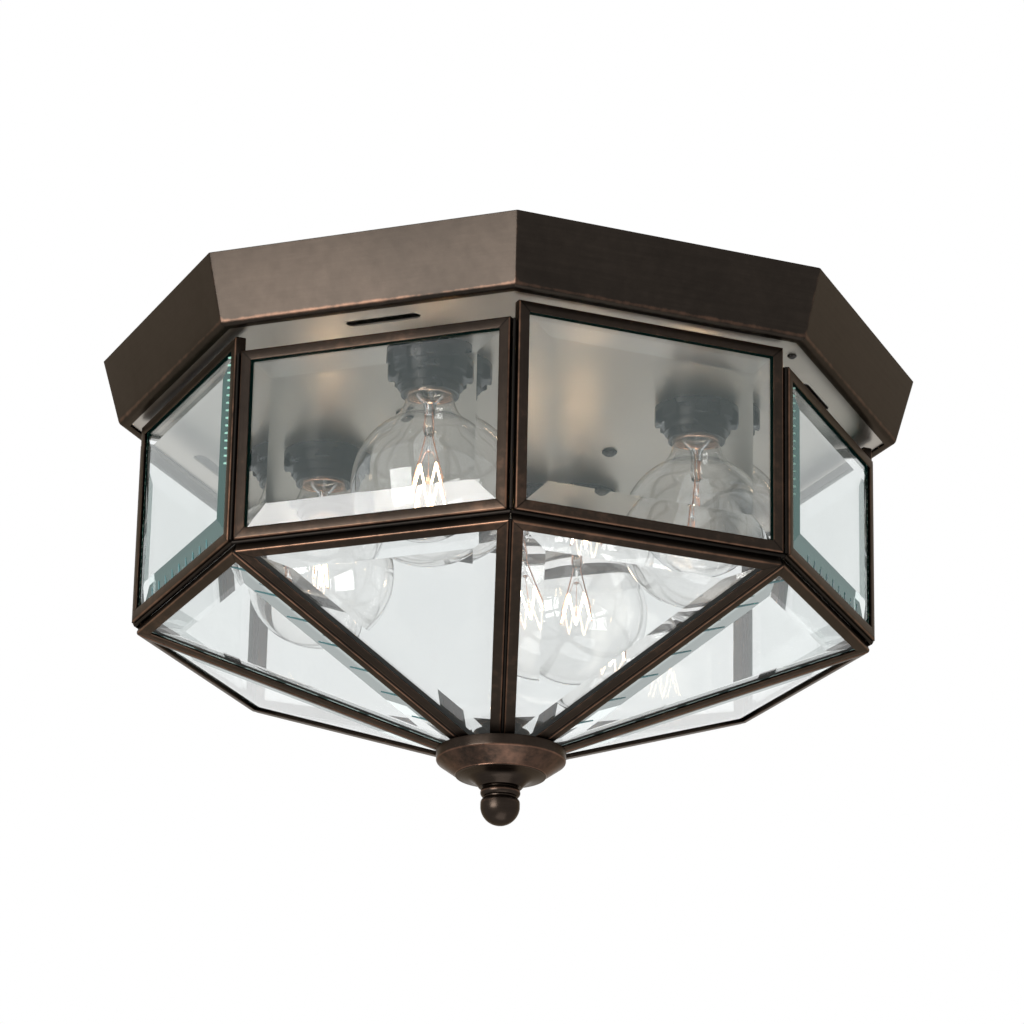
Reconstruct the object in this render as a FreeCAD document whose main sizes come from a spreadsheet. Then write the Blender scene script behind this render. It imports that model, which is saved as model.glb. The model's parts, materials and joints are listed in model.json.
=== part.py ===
import FreeCAD, Part
import Sketcher
import math
import os
import re
from FreeCAD import Placement, Rotation, Vector

# Octagonal flush ceiling lantern: a flared sheet-metal pan with a flat reflector
# plate, four lamps on the plate, and a glazed cage that hangs on a centre rod and
# is held up by a ball finial.  Millimetres, degrees.  Z = 0 is the ceiling and the
# lantern hangs below it; a corner of the octagon points along -Y.  Sizes whose
# name ends in "depth" are measured down from the ceiling.

SIDES = 8
LAMPS = 4
HALF_SIDE = 22.5
FIRST_SIDE = -112.5
LAMP_STEP = 90.0
FIXINGS = 2
FIXING_STEP = 180.0
FIRST_FIXING = -45.0

DRIVING = {
    "canopy_corner_radius": 220.0,
    "canopy_flare": 10.5,
    "canopy_depth": 37.0,
    "canopy_sheet": 1.0,
    "lip_round": 3.0,
    "lip_width": 6.0,
    "plate_sheet": 0.8,
    "plate_margin": 0.3,
    "slot_length": 40.0,
    "slot_width": 7.2,
    "slot_round": 3.4,
    "slot_inset": 37.5,
    "cage_inset": 11.2,
    "tall_gap": 2.5,
    "short_gap": 11.5,
    "cage_foot_depth": 148.9,
    "channel_face": 5.7,
    "channel_depth": 6.0,
    "channel_wall": 0.7,
    "seam_clearance": 0.05,
    "glass_thickness": 4.8,
    "glass_edge": 2.2,
    "bevel_width": 15.0,
    "flat_point_half": 0.5,
    "glass_inset": 3.5,
    "glass_clearance": 0.3,
    "lower_inset": 2.9,
    "lower_slope": 21.8,
    "joint_gap": 0.1,
    "hub_flat": 20.5,
    "hub_boss_radius": 15.0,
    "hub_boss_height": 12.2,
    "rod_radius": 4.95,
    "rod_clearance": 0.35,
    "rod_above_plate": 14.0,
    "cap_radius": 34.2,
    "cap_rim": 5.2,
    "cap_shoulder": 1.4,
    "cap_ridge_radius": 23.8,
    "cap_ridge_drop": 13.2,
    "cap_ridge_step": 0.7,
    "cap_neck_radius": 11.3,
    "cap_height": 20.0,
    "cap_cove": 14.0,
    "cap_sheet": 1.0,
    "finial_length": 20.3,
    "finial_bead": 3.06,
    "finial_collar_height": 5.2,
    "finial_neck_radius": 8.7,
    "finial_neck_height": 0.8,
    "finial_ball_radius": 10.4,
    "finial_ball_round": 3.2,
    "finial_ball_straight": 2.6,
    "finial_bore_depth": 13.0,
    "thread_clearance": 0.06,
    "nut_flats": 14.3,
    "nut_height": 5.0,
    "washer_radius": 10.5,
    "washer_sheet": 1.2,
    "lamp_radius": 107.0,
    "socket_skirt_radius": 22.3,
    "socket_skirt_height": 9.3,
    "socket_sleeve_radius": 17.0,
    "socket_sleeve_height": 13.8,
    "socket_collar_radius": 15.2,
    "socket_collar_height": 18.0,
    "socket_rear_height": 14.0,
    "socket_recess_width": 8.0,
    "socket_recess_depth": 3.4,
    "socket_recess_height": 6.0,
    "skirt_round": 1.2,
    "socket_recesses": 8,
    "shell_wall": 0.6,
    "shell_recess": 3.5,
    "base_radius": 13.0,
    "base_wall": 0.4,
    "base_length": 24.0,
    "base_thread_length": 18.5,
    "contact_radius": 4.8,
    "contact_height": 1.6,
    "bulb_length": 113.0,
    "bulb_radius": 39.7,
    "bulb_neck_radius": 12.5,
    "bulb_neck_straight": 3.77,
    "bulb_wall": 0.7,
    "stem_radius": 2.4,
    "stem_length": 36.0,
    "stem_flare_radius": 8.0,
    "stem_flare_length": 9.0,
    "support_radius": 0.35,
    "support_overlap": 18.0,
    "anchor_radius": 0.2,
    "filament_radius": 0.45,
    "filament_spread": 8.8,
    "filament_drop": 21.3,
    "filament_dip": 23.3,
    "filament_peak": 5.2,
    "strap_length": 164.0,
    "strap_width": 25.4,
    "strap_sheet": 2.0,
    "strap_angle": 25.0,
    "strap_lip": 6.0,
    "strap_round": 4.0,
    "box_bolt_circle": 88.9,
    "box_hole_radius": 2.4,
    "box_slot_centre": 33.0,
    "box_slot_length": 10.0,
    "canopy_screw_circle": 122.0,
    "canopy_screw_radius": 2.0,
    "canopy_screw_head": 4.2,
    "screw_clearance": 0.15,
    "fixing_inset": 20.5,
    "fixing_offset": 14.1,
    "gusset_side": 30.0,
    "gusset_sheet": 1.2,
    "gusset_rise": 1.2,
    "gusset_dimple": 6.0,
    "gusset_margin": 9.0,
    "fixing_screw_radius": 1.4,
    "fixing_screw_head": 2.4,
    "fixing_screw_length": 7.0,
    "lead_radius": 1.2,
    "lead_bend": 6.0,
    "lead_spacing": 6.0,
    "lead_level": 11.5,
    "lead_level_step": 3.3,
    "splice_reach": 48.0,
    "splice_radius": 6.5,
    "splice_tip_radius": 3.4,
    "splice_height": 17.0,
}

DERIVED = {
    "canopy_foot_radius": "canopy_corner_radius - canopy_flare",
    "lip_inner_radius": "canopy_foot_radius - lip_width",
    "cage_corner_radius": "canopy_foot_radius - cage_inset",
    "slot_radius": "canopy_foot_radius - slot_inset",
    "fixing_radius": "canopy_foot_radius - fixing_inset",
    "plate_under_depth": "canopy_depth - canopy_sheet",
    "plate_top_depth": "plate_under_depth - plate_sheet",
    "plate_corner_radius":
        "canopy_foot_radius - (lip_round + plate_margin) / cos(22.5 deg)",
    "cage_flat": "cage_corner_radius * cos(22.5 deg)",
    "corner_relief": "channel_depth * tan(22.5 deg) + seam_clearance",
    "upper_width": "2 * cage_corner_radius * sin(22.5 deg) - 2 * corner_relief",
    "tall_height": "cage_foot_depth - plate_under_depth - tall_gap",
    "short_height": "cage_foot_depth - plate_under_depth - short_gap",
    "groove_width": "channel_depth - 2 * channel_wall",
    "pane_margin": "channel_face - glass_inset",
    "flat_margin": "pane_margin + bevel_width",
    "pane_back": "channel_depth - channel_wall - glass_clearance",
    "lower_flat": "cage_flat - lower_inset",
    "lower_top_depth":
        "cage_foot_depth + channel_depth * cos(lower_slope * 1 deg) + joint_gap",
    "lower_length": "(lower_flat - hub_flat) / cos(lower_slope * 1 deg)",
    "lower_lean": "atan(tan(22.5 deg) * cos(lower_slope * 1 deg)) / 1 deg",
    "lower_mitre": "asin(sin(22.5 deg) * sin(lower_slope * 1 deg)) / 1 deg",
    "lower_relief":
        "(channel_depth * tan(lower_mitre * 1 deg) + seam_clearance) / cos(lower_lean * 1 deg)",
    "lower_half_top": "lower_flat * tan(22.5 deg) - lower_relief",
    "flat_point":
        "(lower_half_top - flat_margin / cos(lower_lean * 1 deg) - flat_point_half)"
        " / tan(lower_lean * 1 deg)",
    "hub_depth": "lower_top_depth + (lower_flat - hub_flat) * tan(lower_slope * 1 deg)",
    "hub_rise": "channel_depth * cos(lower_slope * 1 deg)",
    "hub_top_depth": "hub_depth - hub_rise - hub_boss_height",
    "rod_hole": "rod_radius + rod_clearance",
    "cap_top_depth":
        "lower_top_depth + (lower_flat - (cap_radius - cap_sheet) * cos(22.5 deg))"
        " * tan(lower_slope * 1 deg) + joint_gap",
    "cap_foot_depth": "cap_top_depth + cap_height",
    "finial_top_depth": "cap_foot_depth + joint_gap",
    "rod_end_depth": "finial_top_depth + finial_bore_depth - 1",
    "rod_top_depth": "plate_top_depth - rod_above_plate",
    "shell_radius": "base_radius + thread_clearance",
    "shell_height": "base_length - shell_recess + shell_wall + joint_gap",
    "shell_top": "shell_recess + shell_height - socket_collar_height",
    "socket_bore": "shell_radius + shell_wall + thread_clearance",
    "contact_depth": "plate_under_depth + socket_collar_height - base_length",
    "bulb_neck_top": "bulb_length - bulb_radius - base_length + 4",
    "bulb_centre_depth": "contact_depth + bulb_length - bulb_radius",
    "bulb_rise": "bulb_neck_top - bulb_neck_straight",
    "bulb_neck_cove":
        "(bulb_rise * bulb_rise - bulb_radius * bulb_radius"
        " + bulb_neck_radius * bulb_neck_radius) / (2 * (bulb_radius - bulb_neck_radius))",
    "neck_axis": "bulb_neck_radius + bulb_neck_cove",
    "bulb_reach": "bulb_radius + bulb_neck_cove",
}

DERIVED["gusset_apex"] = (
    "canopy_foot_radius - canopy_sheet / cos(22.5 deg) - joint_gap")
DERIVED["finial_ball_low"] = (
    "-finial_collar_height - finial_neck_height - finial_ball_round * 0.75"
    " - finial_ball_straight")
DERIVED["finial_ball_curve"] = (
    "(finial_ball_radius * finial_ball_radius"
    " + (finial_length + finial_ball_low) * (finial_length + finial_ball_low))"
    " / (2 * (finial_length + finial_ball_low))")

doc = FreeCAD.newDocument("ceiling_lantern")
sizes = doc.addObject("Spreadsheet::Sheet", "sizes")
NAMES = set(DRIVING) | set(DERIVED)


def bound(formula):
    """The formula with every size name pointing at the spreadsheet."""
    def qualify(match):
        word = match.group(0)
        return "sizes." + word if word in NAMES else word
    return re.sub(r"[a-z][a-z_0-9]*", qualify, str(formula))


def fill_sheet():
    row = 1
    for name, number in DRIVING.items():
        sizes.set("A%d" % row, name.replace("_", " "))
        sizes.set("B%d" % row, str(number))
        sizes.setAlias("B%d" % row, name)
        row += 1
    doc.recompute()
    for name, formula in DERIVED.items():
        sizes.set("A%d" % row, name.replace("_", " "))
        sizes.set("B%d" % row, "=" + formula)
        sizes.setAlias("B%d" % row, name)
        doc.recompute()
        row += 1


def size(name):
    """One size from the spreadsheet as a plain number."""
    number = sizes.get(name)
    return float(getattr(number, "Value", number))


def work_out(formula):
    """A formula of sizes as a plain number, to draw a sketch near its solution."""
    number = sizes.evalExpression(bound(formula))
    return float(getattr(number, "Value", number))


def bind(thing, **formulas):
    for name, formula in formulas.items():
        thing.setExpression(name, bound(formula))


def turned(angle):
    """Placement turned about the lantern's axis."""
    return Placement(Vector(), Rotation(Vector(0, 0, 1), angle))


# ---------------------------------------------------------------- sketches

def new_body(name):
    body = doc.addObject("PartDesign::Body", name)
    body.Label = name
    return body


def sketch_on(body, role, name, lift="0"):
    """Sketch on one of the body's own origin planes, lifted along its normal."""
    planes = [feature for feature in body.Origin.OriginFeatures if feature.Role == role]
    sketch = body.newObject("Sketcher::SketchObject", body.Name + "_" + name)
    sketch.AttachmentSupport = [(planes[0], "")]
    sketch.MapMode = "FlatFace"
    sketch.setExpression(".AttachmentOffset.Base.z", bound(lift))
    return sketch


def pin(sketch, edge, end, x, y):
    """Tie one end of an edge to a place given by two formulas."""
    for axis, formula in (("DistanceX", x), ("DistanceY", y)):
        number = sketch.addConstraint(
            Sketcher.Constraint(axis, -1, 1, edge, end, work_out(formula)))
        sketch.setExpression("Constraints[%d]" % number, bound(formula))


def arc_between(start, finish, radius):
    """Short arc with its centre on the left for a positive radius, else on the right."""
    middle = (start + finish) * 0.5
    along = finish - start
    half = along.Length / 2
    left = Vector(-along.y, along.x, 0).normalize()
    rise = math.sqrt(max(radius * radius - half * half, 0))
    centre = middle + left * (rise if radius > 0 else -rise)
    first, last = (start, finish) if radius > 0 else (finish, start)
    first_angle = math.atan2(first.y - centre.y, first.x - centre.x)
    last_angle = math.atan2(last.y - centre.y, last.x - centre.x)
    circle = Part.Circle(centre, Vector(0, 0, 1), abs(radius))
    return Part.ArcOfCircle(circle, first_angle, last_angle)


def outline(sketch, corners):
    """Closed outline.  A corner is (x, y), or (x, y, r) where an arc of radius r,
    with its centre on the left for a positive r, leads to the next corner."""
    places = [Vector(work_out(c[0]), work_out(c[1]), 0) for c in corners]
    starts = []
    for index, corner in enumerate(corners):
        here = places[index]
        after = places[(index + 1) % len(corners)]
        if len(corner) == 3:
            radius = work_out(corner[2])
            edge = sketch.addGeometry(arc_between(here, after, radius))
            number = sketch.addConstraint(Sketcher.Constraint("Radius", edge, abs(radius)))
            sketch.setExpression("Constraints[%d]" % number, bound("abs(%s)" % corner[2]))
            start = 1 if radius > 0 else 2
        else:
            edge = sketch.addGeometry(Part.LineSegment(here, after))
            start = 1
        starts.append((edge, start))
    for index, (edge, start) in enumerate(starts):
        following, following_start = starts[(index + 1) % len(starts)]
        sketch.addConstraint(
            Sketcher.Constraint("Coincident", edge, 3 - start, following, following_start))
        pin(sketch, edge, start, corners[index][0], corners[index][1])


def circle(sketch, radius, x="0", y="0"):
    centre = Vector(work_out(x), work_out(y), 0)
    edge = sketch.addGeometry(Part.Circle(centre, Vector(0, 0, 1), work_out(radius)))
    number = sketch.addConstraint(Sketcher.Constraint("Radius", edge, work_out(radius)))
    sketch.setExpression("Constraints[%d]" % number, bound(radius))
    pin(sketch, edge, 3, x, y)


def octagon(sketch, corner_radius, turn=0.0):
    corners = []
    for step in range(SIDES):
        angle = turn + step * 2 * HALF_SIDE
        corners.append(("(%s) * cos(%g deg)" % (corner_radius, angle),
                        "(%s) * sin(%g deg)" % (corner_radius, angle)))
    outline(sketch, corners)


def rectangle(sketch, half_width, low, high):
    outline(sketch, [("-(%s)" % half_width, low), (half_width, low),
                     (half_width, high), ("-(%s)" % half_width, high)])


def rounded_rectangle(sketch, half_x, half_y, round_radius, x="0", y="0"):
    def at(formula, offset):
        return "(%s) + (%s)" % (formula, offset)
    inner_x = "(%s) - (%s)" % (half_x, round_radius)
    inner_y = "(%s) - (%s)" % (half_y, round_radius)
    outline(sketch, [
        (at(x, "-(%s)" % inner_x), at(y, "-(%s)" % half_y)),
        (at(x, inner_x), at(y, "-(%s)" % half_y), round_radius),
        (at(x, half_x), at(y, "-(%s)" % inner_y)),
        (at(x, half_x), at(y, inner_y), round_radius),
        (at(x, inner_x), at(y, half_y)),
        (at(x, "-(%s)" % inner_x), at(y, half_y), round_radius),
        (at(x, "-(%s)" % half_x), at(y, inner_y)),
        (at(x, "-(%s)" % half_x), at(y, "-(%s)" % inner_y), round_radius),
    ])


def pad(body, sketch, length, reverse=False):
    feature = body.newObject("PartDesign::Pad", sketch.Name + "_pad")
    feature.Profile = sketch
    feature.Reversed = reverse
    bind(feature, Length=length)
    return feature


def pocket(body, sketch, length, reverse=False):
    feature = body.newObject("PartDesign::Pocket", sketch.Name + "_pocket")
    feature.Profile = sketch
    feature.Reversed = reverse
    bind(feature, Length=length)
    return feature


def revolve(body, sketch):
    feature = body.newObject("PartDesign::Revolution", sketch.Name + "_turned")
    feature.Profile = sketch
    feature.ReferenceAxis = (sketch, ["V_Axis"])
    feature.Angle = 360
    return feature


def loft(body, first, others, kind="AdditiveLoft"):
    feature = body.newObject("PartDesign::" + kind, first.Name + "_loft")
    feature.Profile = first
    feature.Sections = others
    feature.Ruled = True
    return feature


def turned_body(name, corners):
    """A turned piece from the half profile (radius, height)."""
    body = new_body(name)
    sketch = sketch_on(body, "XZ_Plane", "profile")
    outline(sketch, corners)
    revolve(body, sketch)
    return body


# ------------------------------------------------------- simple solid features

def primitive(kind, name, placement, **formulas):
    """A Part primitive whose sizes are bound to the sheet."""
    thing = doc.addObject("Part::" + kind, name)
    bind(thing, **formulas)
    thing.Placement = placement
    return thing


def cut(name, base, tool):
    feature = doc.addObject("Part::Cut", name)
    feature.Base = base
    feature.Tool = tool
    return feature


def group(name, things):
    """Separate solids that share one name."""
    feature = doc.addObject("Part::Compound", name)
    feature.Label = name
    feature.Links = things
    return feature


def polar(radius, angle, height):
    turn = math.radians(angle)
    return Vector(radius * math.cos(turn), radius * math.sin(turn), height)


# ---------------------------------------------------------------- canopy

def round_edges_at(body, feature, level, radius):
    """Fillet every edge of a feature that lies at one level."""
    doc.recompute()
    edges = []
    for index, edge in enumerate(feature.Shape.Edges):
        if all(abs(vertex.Z - level) < 0.01 for vertex in edge.Vertexes):
            edges.append("Edge%d" % (index + 1))
    rounded = body.newObject("PartDesign::Fillet", feature.Name + "_round")
    rounded.Base = (feature, edges)
    bind(rounded, Radius=radius)
    return rounded


def make_canopy_shell():
    """Flared octagonal pan, open to the ceiling, with a rounded foot and a lip."""
    body = new_body("canopy_shell")
    top = sketch_on(body, "XY_Plane", "top")
    octagon(top, "canopy_corner_radius")
    foot = sketch_on(body, "XY_Plane", "foot", "-canopy_depth")
    octagon(foot, "canopy_foot_radius")
    solid = loft(body, top, [foot])
    round_edges_at(body, solid, -size("canopy_depth"), "lip_round")
    inner_top = sketch_on(body, "XY_Plane", "inner_top")
    octagon(inner_top, "canopy_corner_radius - canopy_sheet / cos(22.5 deg)")
    inner_foot = sketch_on(body, "XY_Plane", "inner_foot", "canopy_sheet - canopy_depth")
    octagon(inner_foot, "canopy_foot_radius - canopy_sheet / cos(22.5 deg)"
                        " + (canopy_corner_radius - canopy_foot_radius)"
                        " * canopy_sheet / canopy_depth")
    hollow = loft(body, inner_top, [inner_foot], "SubtractiveLoft")
    round_edges_at(body, hollow, size("canopy_sheet") - size("canopy_depth"),
                   "lip_round - canopy_sheet")
    mouth = sketch_on(body, "XY_Plane", "mouth", "-canopy_depth - 1")
    octagon(mouth, "lip_inner_radius")
    pocket(body, mouth, "canopy_sheet + 2", reverse=True)
    return body


def make_reflector_plate():
    """Flat sheet that lies on the lip, with holes for the sockets, rod and screws
    and a vent slot behind each short pane.  The lamps lie on its own axes."""
    body = new_body("reflector_plate")
    sheet = sketch_on(body, "XY_Plane", "sheet")
    octagon(sheet, "plate_corner_radius", HALF_SIDE)
    pad(body, sheet, "plate_sheet")
    holes = sketch_on(body, "XY_Plane", "holes", "plate_sheet")
    circle(holes, "rod_hole")
    for lamp in range(LAMPS):
        angle = lamp * LAMP_STEP
        circle(holes, "socket_sleeve_radius + screw_clearance",
               "lamp_radius * cos(%g deg)" % angle, "lamp_radius * sin(%g deg)" % angle)
    for fixing in range(FIXINGS):
        angle = fixing_angle(fixing) + HALF_SIDE
        circle(holes, "fixing_screw_radius + screw_clearance",
               "fixing_radius * cos(%g deg) - fixing_offset * sin(%g deg)" % (angle, angle),
               "fixing_radius * sin(%g deg) + fixing_offset * cos(%g deg)" % (angle, angle))
    for half_turn in (0, 180):
        angle = "(strap_angle + %g) * 1 deg" % (HALF_SIDE + half_turn)
        circle(holes, "canopy_screw_radius + screw_clearance",
               "canopy_screw_circle / 2 * cos(%s)" % angle,
               "canopy_screw_circle / 2 * sin(%s)" % angle)
    pocket(body, holes, "plate_sheet")
    slot = sketch_on(body, "XY_Plane", "slot", "plate_sheet")
    rounded_rectangle(slot, "slot_width / 2", "slot_length / 2", "slot_round", "slot_radius")
    vent = pocket(body, slot, "plate_sheet")
    doc.recompute()
    vents = body.newObject("PartDesign::PolarPattern", "reflector_plate_vents")
    vents.Originals = [vent]
    axis = [feature for feature in body.Origin.OriginFeatures if feature.Role == "Z_Axis"]
    vents.Axis = (axis[0], [""])
    vents.Angle = 360
    vents.Occurrences = LAMPS
    body.Tip = vents
    body.Placement = Placement(polar(0, 0, -size("plate_under_depth")),
                               turned(FIRST_SIDE + LAMP_STEP).Rotation)
    return body


def fixing_angle(number):
    return FIRST_FIXING + number * FIXING_STEP


def make_gusset(number):
    """Corner gusset welded to the pan; the plate is screwed up to its dimple."""
    body = new_body("gusset_%d" % number)
    sheet = sketch_on(body, "XY_Plane", "sheet", "gusset_rise")
    outline(sheet, [
        ("gusset_apex", "0"),
        ("gusset_apex - gusset_side * sin(22.5 deg)", "gusset_side * cos(22.5 deg)"),
        ("fixing_radius - gusset_margin", "gusset_side * cos(22.5 deg) - gusset_margin"),
        ("fixing_radius - gusset_margin", "gusset_margin - gusset_side * cos(22.5 deg)"),
        ("gusset_apex - gusset_side * sin(22.5 deg)", "-gusset_side * cos(22.5 deg)"),
    ])
    pad(body, sheet, "gusset_sheet")
    dimple = sketch_on(body, "XY_Plane", "dimple")
    circle(dimple, "gusset_dimple", "fixing_radius", "fixing_offset")
    pad(body, dimple, "gusset_rise + gusset_sheet / 2")
    hole = sketch_on(body, "XY_Plane", "hole", "gusset_rise + gusset_sheet")
    circle(hole, "fixing_screw_radius + thread_clearance", "fixing_radius", "fixing_offset")
    pocket(body, hole, "gusset_rise + gusset_sheet")
    body.Placement = Placement(polar(0, 0, -size("plate_top_depth")),
                               turned(fixing_angle(number)).Rotation)
    return body


def make_screw(name, shank, head, length, place):
    """Pan-head screw, head down, with its head seat at the given place."""
    body = turned_body(name, [
        ("0", "0 - (%s) * 0.55" % head),
        ("(%s) * 0.55" % head, "0 - (%s) * 0.55" % head),
        (head, "0 - (%s) * 0.2" % head),
        (head, "0"),
        (shank, "0"),
        (shank, length),
        ("0", length),
    ])
    body.Placement = Placement(place, Rotation())
    return body


def make_plate_fixings():
    pieces = []
    under = -size("plate_under_depth")
    for number in range(FIXINGS):
        angle = fixing_angle(number)
        place = polar(size("fixing_radius"), angle, under)
        place += polar(size("fixing_offset"), angle + 90, 0)
        pieces.append(make_gusset(number))
        pieces.append(make_screw("fixing_screw_%d" % number, "fixing_screw_radius",
                                 "fixing_screw_head", "fixing_screw_length", place))
    return group("plate_fixings", pieces)


def make_mounting_strap():
    """Crossbar for the outlet box, with turned-down edges."""
    body = new_body("mounting_strap")
    bar = sketch_on(body, "XY_Plane", "bar")
    rounded_rectangle(bar, "strap_length / 2", "strap_width / 2", "strap_round")
    pad(body, bar, "strap_sheet", reverse=True)
    for side in ("1", "-1"):
        lip = sketch_on(body, "XY_Plane", "lip_left" if side == "1" else "lip_right")
        inner = "%s * (strap_width / 2 - strap_sheet)" % side
        outer = "%s * strap_width / 2" % side
        low, high = (inner, outer) if side == "1" else (outer, inner)
        rectangle(lip, "strap_length / 2 - strap_round", low, high)
        pad(body, lip, "strap_lip", reverse=True)
    holes = sketch_on(body, "XY_Plane", "holes")
    circle(holes, "rod_hole")
    for side in ("", "-"):
        circle(holes, "box_hole_radius", side + "box_bolt_circle / 2")
        circle(holes, "canopy_screw_radius + screw_clearance", side + "canopy_screw_circle / 2")
        rounded_rectangle(holes, "box_slot_length / 2", "box_hole_radius",
                          "box_hole_radius * 0.9", side + "box_slot_centre")
    pocket(body, holes, "strap_sheet")
    body.Placement = turned(size("strap_angle"))
    return body


def make_mounting_screws():
    """Two long screws that draw the plate up to the strap."""
    pieces = []
    for number in (1, 2):
        place = polar(size("canopy_screw_circle") / 2,
                      size("strap_angle") + 180 * (number - 1),
                      -size("plate_under_depth"))
        pieces.append(make_screw("mounting_screw_%d" % number, "canopy_screw_radius",
                                 "canopy_screw_head", "plate_under_depth - strap_sheet / 4",
                                 place))
    return group("mounting_screws", pieces)


def make_center_rod():
    rod = primitive("Cylinder", "center_rod",
                    Placement(polar(0, 0, -size("rod_end_depth")), Rotation()),
                    Radius="rod_radius", Height="rod_end_depth - rod_top_depth")
    rod.Label = "center_rod"
    return rod


def make_nut(name, depth):
    """Hexagon nut on the rod with its lower face at the given depth."""
    place = Placement(polar(0, 0, -depth), Rotation())
    blank = primitive("Prism", name + "_blank", place,
                      Circumradius="nut_flats / 2 / cos(30 deg)", Height="nut_height")
    blank.Polygon = 6
    bore = primitive("Cylinder", name + "_bore", place,
                     Radius="rod_radius + thread_clearance", Height="nut_height")
    return cut(name, blank, bore)


def make_washer(name, depth):
    place = Placement(polar(0, 0, -depth), Rotation())
    disc = primitive("Cylinder", name + "_disc", place,
                     Radius="washer_radius", Height="washer_sheet")
    bore = primitive("Cylinder", name + "_bore", place,
                     Radius="rod_radius + thread_clearance", Height="washer_sheet")
    return cut(name, disc, bore)


def make_rod_nuts():
    """A nut and washer on each side of the plate, and the stop above the hub."""
    washer = size("washer_sheet")
    nut = size("nut_height")
    above = size("plate_top_depth")
    below = size("plate_under_depth") + washer
    stop = size("hub_top_depth") - size("joint_gap")
    return group("rod_nuts", [
        make_washer("upper_washer", above),
        make_nut("upper_nut", above - washer),
        make_washer("lower_washer", below),
        make_nut("lower_nut", below + nut),
        make_washer("stop_washer", stop),
        make_nut("stop_nut", stop - washer),
    ])


# ---------------------------------------------------------------- lamps

def lamp_angle(number):
    return FIRST_SIDE + (number - 1) * LAMP_STEP


def lamp_place(number, depth):
    angle = lamp_angle(number)
    return Placement(polar(size("lamp_radius"), angle, -depth), turned(angle).Rotation)


def make_socket(number):
    """Moulded lampholder: skirt under the plate, stepped mouth, body above it."""
    body = turned_body("socket_%d" % number, [
        ("socket_bore", "-socket_collar_height"),
        ("socket_collar_radius", "-socket_collar_height"),
        ("socket_collar_radius", "-socket_sleeve_height"),
        ("socket_sleeve_radius", "-socket_sleeve_height"),
        ("socket_sleeve_radius", "-socket_skirt_height"),
        ("socket_skirt_radius - skirt_round", "-socket_skirt_height", "skirt_round"),
        ("socket_skirt_radius", "skirt_round - socket_skirt_height"),
        ("socket_skirt_radius", "0"),
        ("socket_sleeve_radius", "0"),
        ("socket_sleeve_radius", "socket_rear_height"),
        ("0", "socket_rear_height"),
        ("0", "shell_top + joint_gap"),
        ("socket_bore", "shell_top + joint_gap"),
    ])
    doc.recompute()
    recess = sketch_on(body, "XY_Plane", "recess", "-socket_skirt_height")
    outline(recess, [
        ("socket_skirt_radius - socket_recess_depth", "-socket_recess_width / 2"),
        ("socket_skirt_radius + 1", "-socket_recess_width / 2"),
        ("socket_skirt_radius + 1", "socket_recess_width / 2"),
        ("socket_skirt_radius - socket_recess_depth", "socket_recess_width / 2"),
    ])
    notch = pocket(body, recess, "socket_recess_height", reverse=True)
    doc.recompute()
    notches = body.newObject("PartDesign::PolarPattern", body.Name + "_notches")
    notches.Originals = [notch]
    axis = [feature for feature in body.Origin.OriginFeatures if feature.Role == "Z_Axis"]
    notches.Axis = (axis[0], [""])
    notches.Angle = 360
    bind(notches, Occurrences="socket_recesses")
    body.Tip = notches
    body.Placement = lamp_place(number, size("plate_under_depth"))
    return body


def make_socket_shells():
    """The screw shells, one in each lampholder, closed at the top."""
    shells = []
    for number in range(1, LAMPS + 1):
        depth = size("plate_under_depth") + size("socket_collar_height") - size("shell_recess")
        place = lamp_place(number, depth)
        drawn = primitive("Cylinder", "shell_%d_drawn" % number, place,
                          Radius="shell_radius + shell_wall", Height="shell_height")
        bore = primitive("Cylinder", "shell_%d_bore" % number, place,
                         Radius="shell_radius", Height="shell_height - shell_wall")
        shells.append(cut("shell_%d" % number, drawn, bore))
    return group("socket_shells", shells)


def make_bulb_base(number):
    """Screw base, measured down from the tip of its contact."""
    name = "bulb_base_%d" % number
    body = turned_body(name, [
        ("0", "0"),
        ("contact_radius", "0"),
        ("contact_radius", "-contact_height"),
        ("base_radius * 0.7", "-contact_height"),
        ("base_radius", "base_thread_length - base_length"),
        ("base_radius", "-base_length"),
        ("base_radius - base_wall", "-base_length"),
        ("base_radius - base_wall", "base_thread_length - base_length - base_wall"),
        ("base_radius * 0.7 - base_wall", "-contact_height - base_wall"),
        ("0", "-contact_height - base_wall"),
    ])
    body.Placement = lamp_place(number, size("contact_depth"))
    return body


def make_bulb_glass(number):
    """Blown globe with its neck and the sealed-in stem, about the globe's centre."""
    name = "bulb_glass_%d" % number
    body = turned_body(name, [
        ("0", "-bulb_radius", "bulb_radius"),
        ("bulb_radius * neck_axis / bulb_reach", "bulb_radius * bulb_rise / bulb_reach",
         "-bulb_neck_cove"),
        ("bulb_neck_radius", "bulb_rise"),
        ("bulb_neck_radius", "bulb_neck_top"),
        ("0", "bulb_neck_top"),
        ("0", "bulb_neck_top - stem_length"),
        ("stem_radius", "bulb_neck_top - stem_length"),
        ("stem_radius", "bulb_neck_top - stem_flare_length"),
        ("stem_flare_radius", "bulb_neck_top - 2"),
        ("bulb_neck_radius - bulb_wall", "bulb_neck_top - 2"),
        ("bulb_neck_radius - bulb_wall", "bulb_rise", "bulb_neck_cove + bulb_wall"),
        ("(bulb_radius - bulb_wall) * neck_axis / bulb_reach",
         "(bulb_radius - bulb_wall) * bulb_rise / bulb_reach", "bulb_wall - bulb_radius"),
        ("0", "bulb_wall - bulb_radius"),
    ])
    body.Placement = lamp_place(number, size("bulb_centre_depth"))
    return body


def wire_between(start, finish, radius):
    """Round wire from one point to another."""
    run = finish - start
    return Part.makeCylinder(radius, run.Length, start, run)


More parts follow.
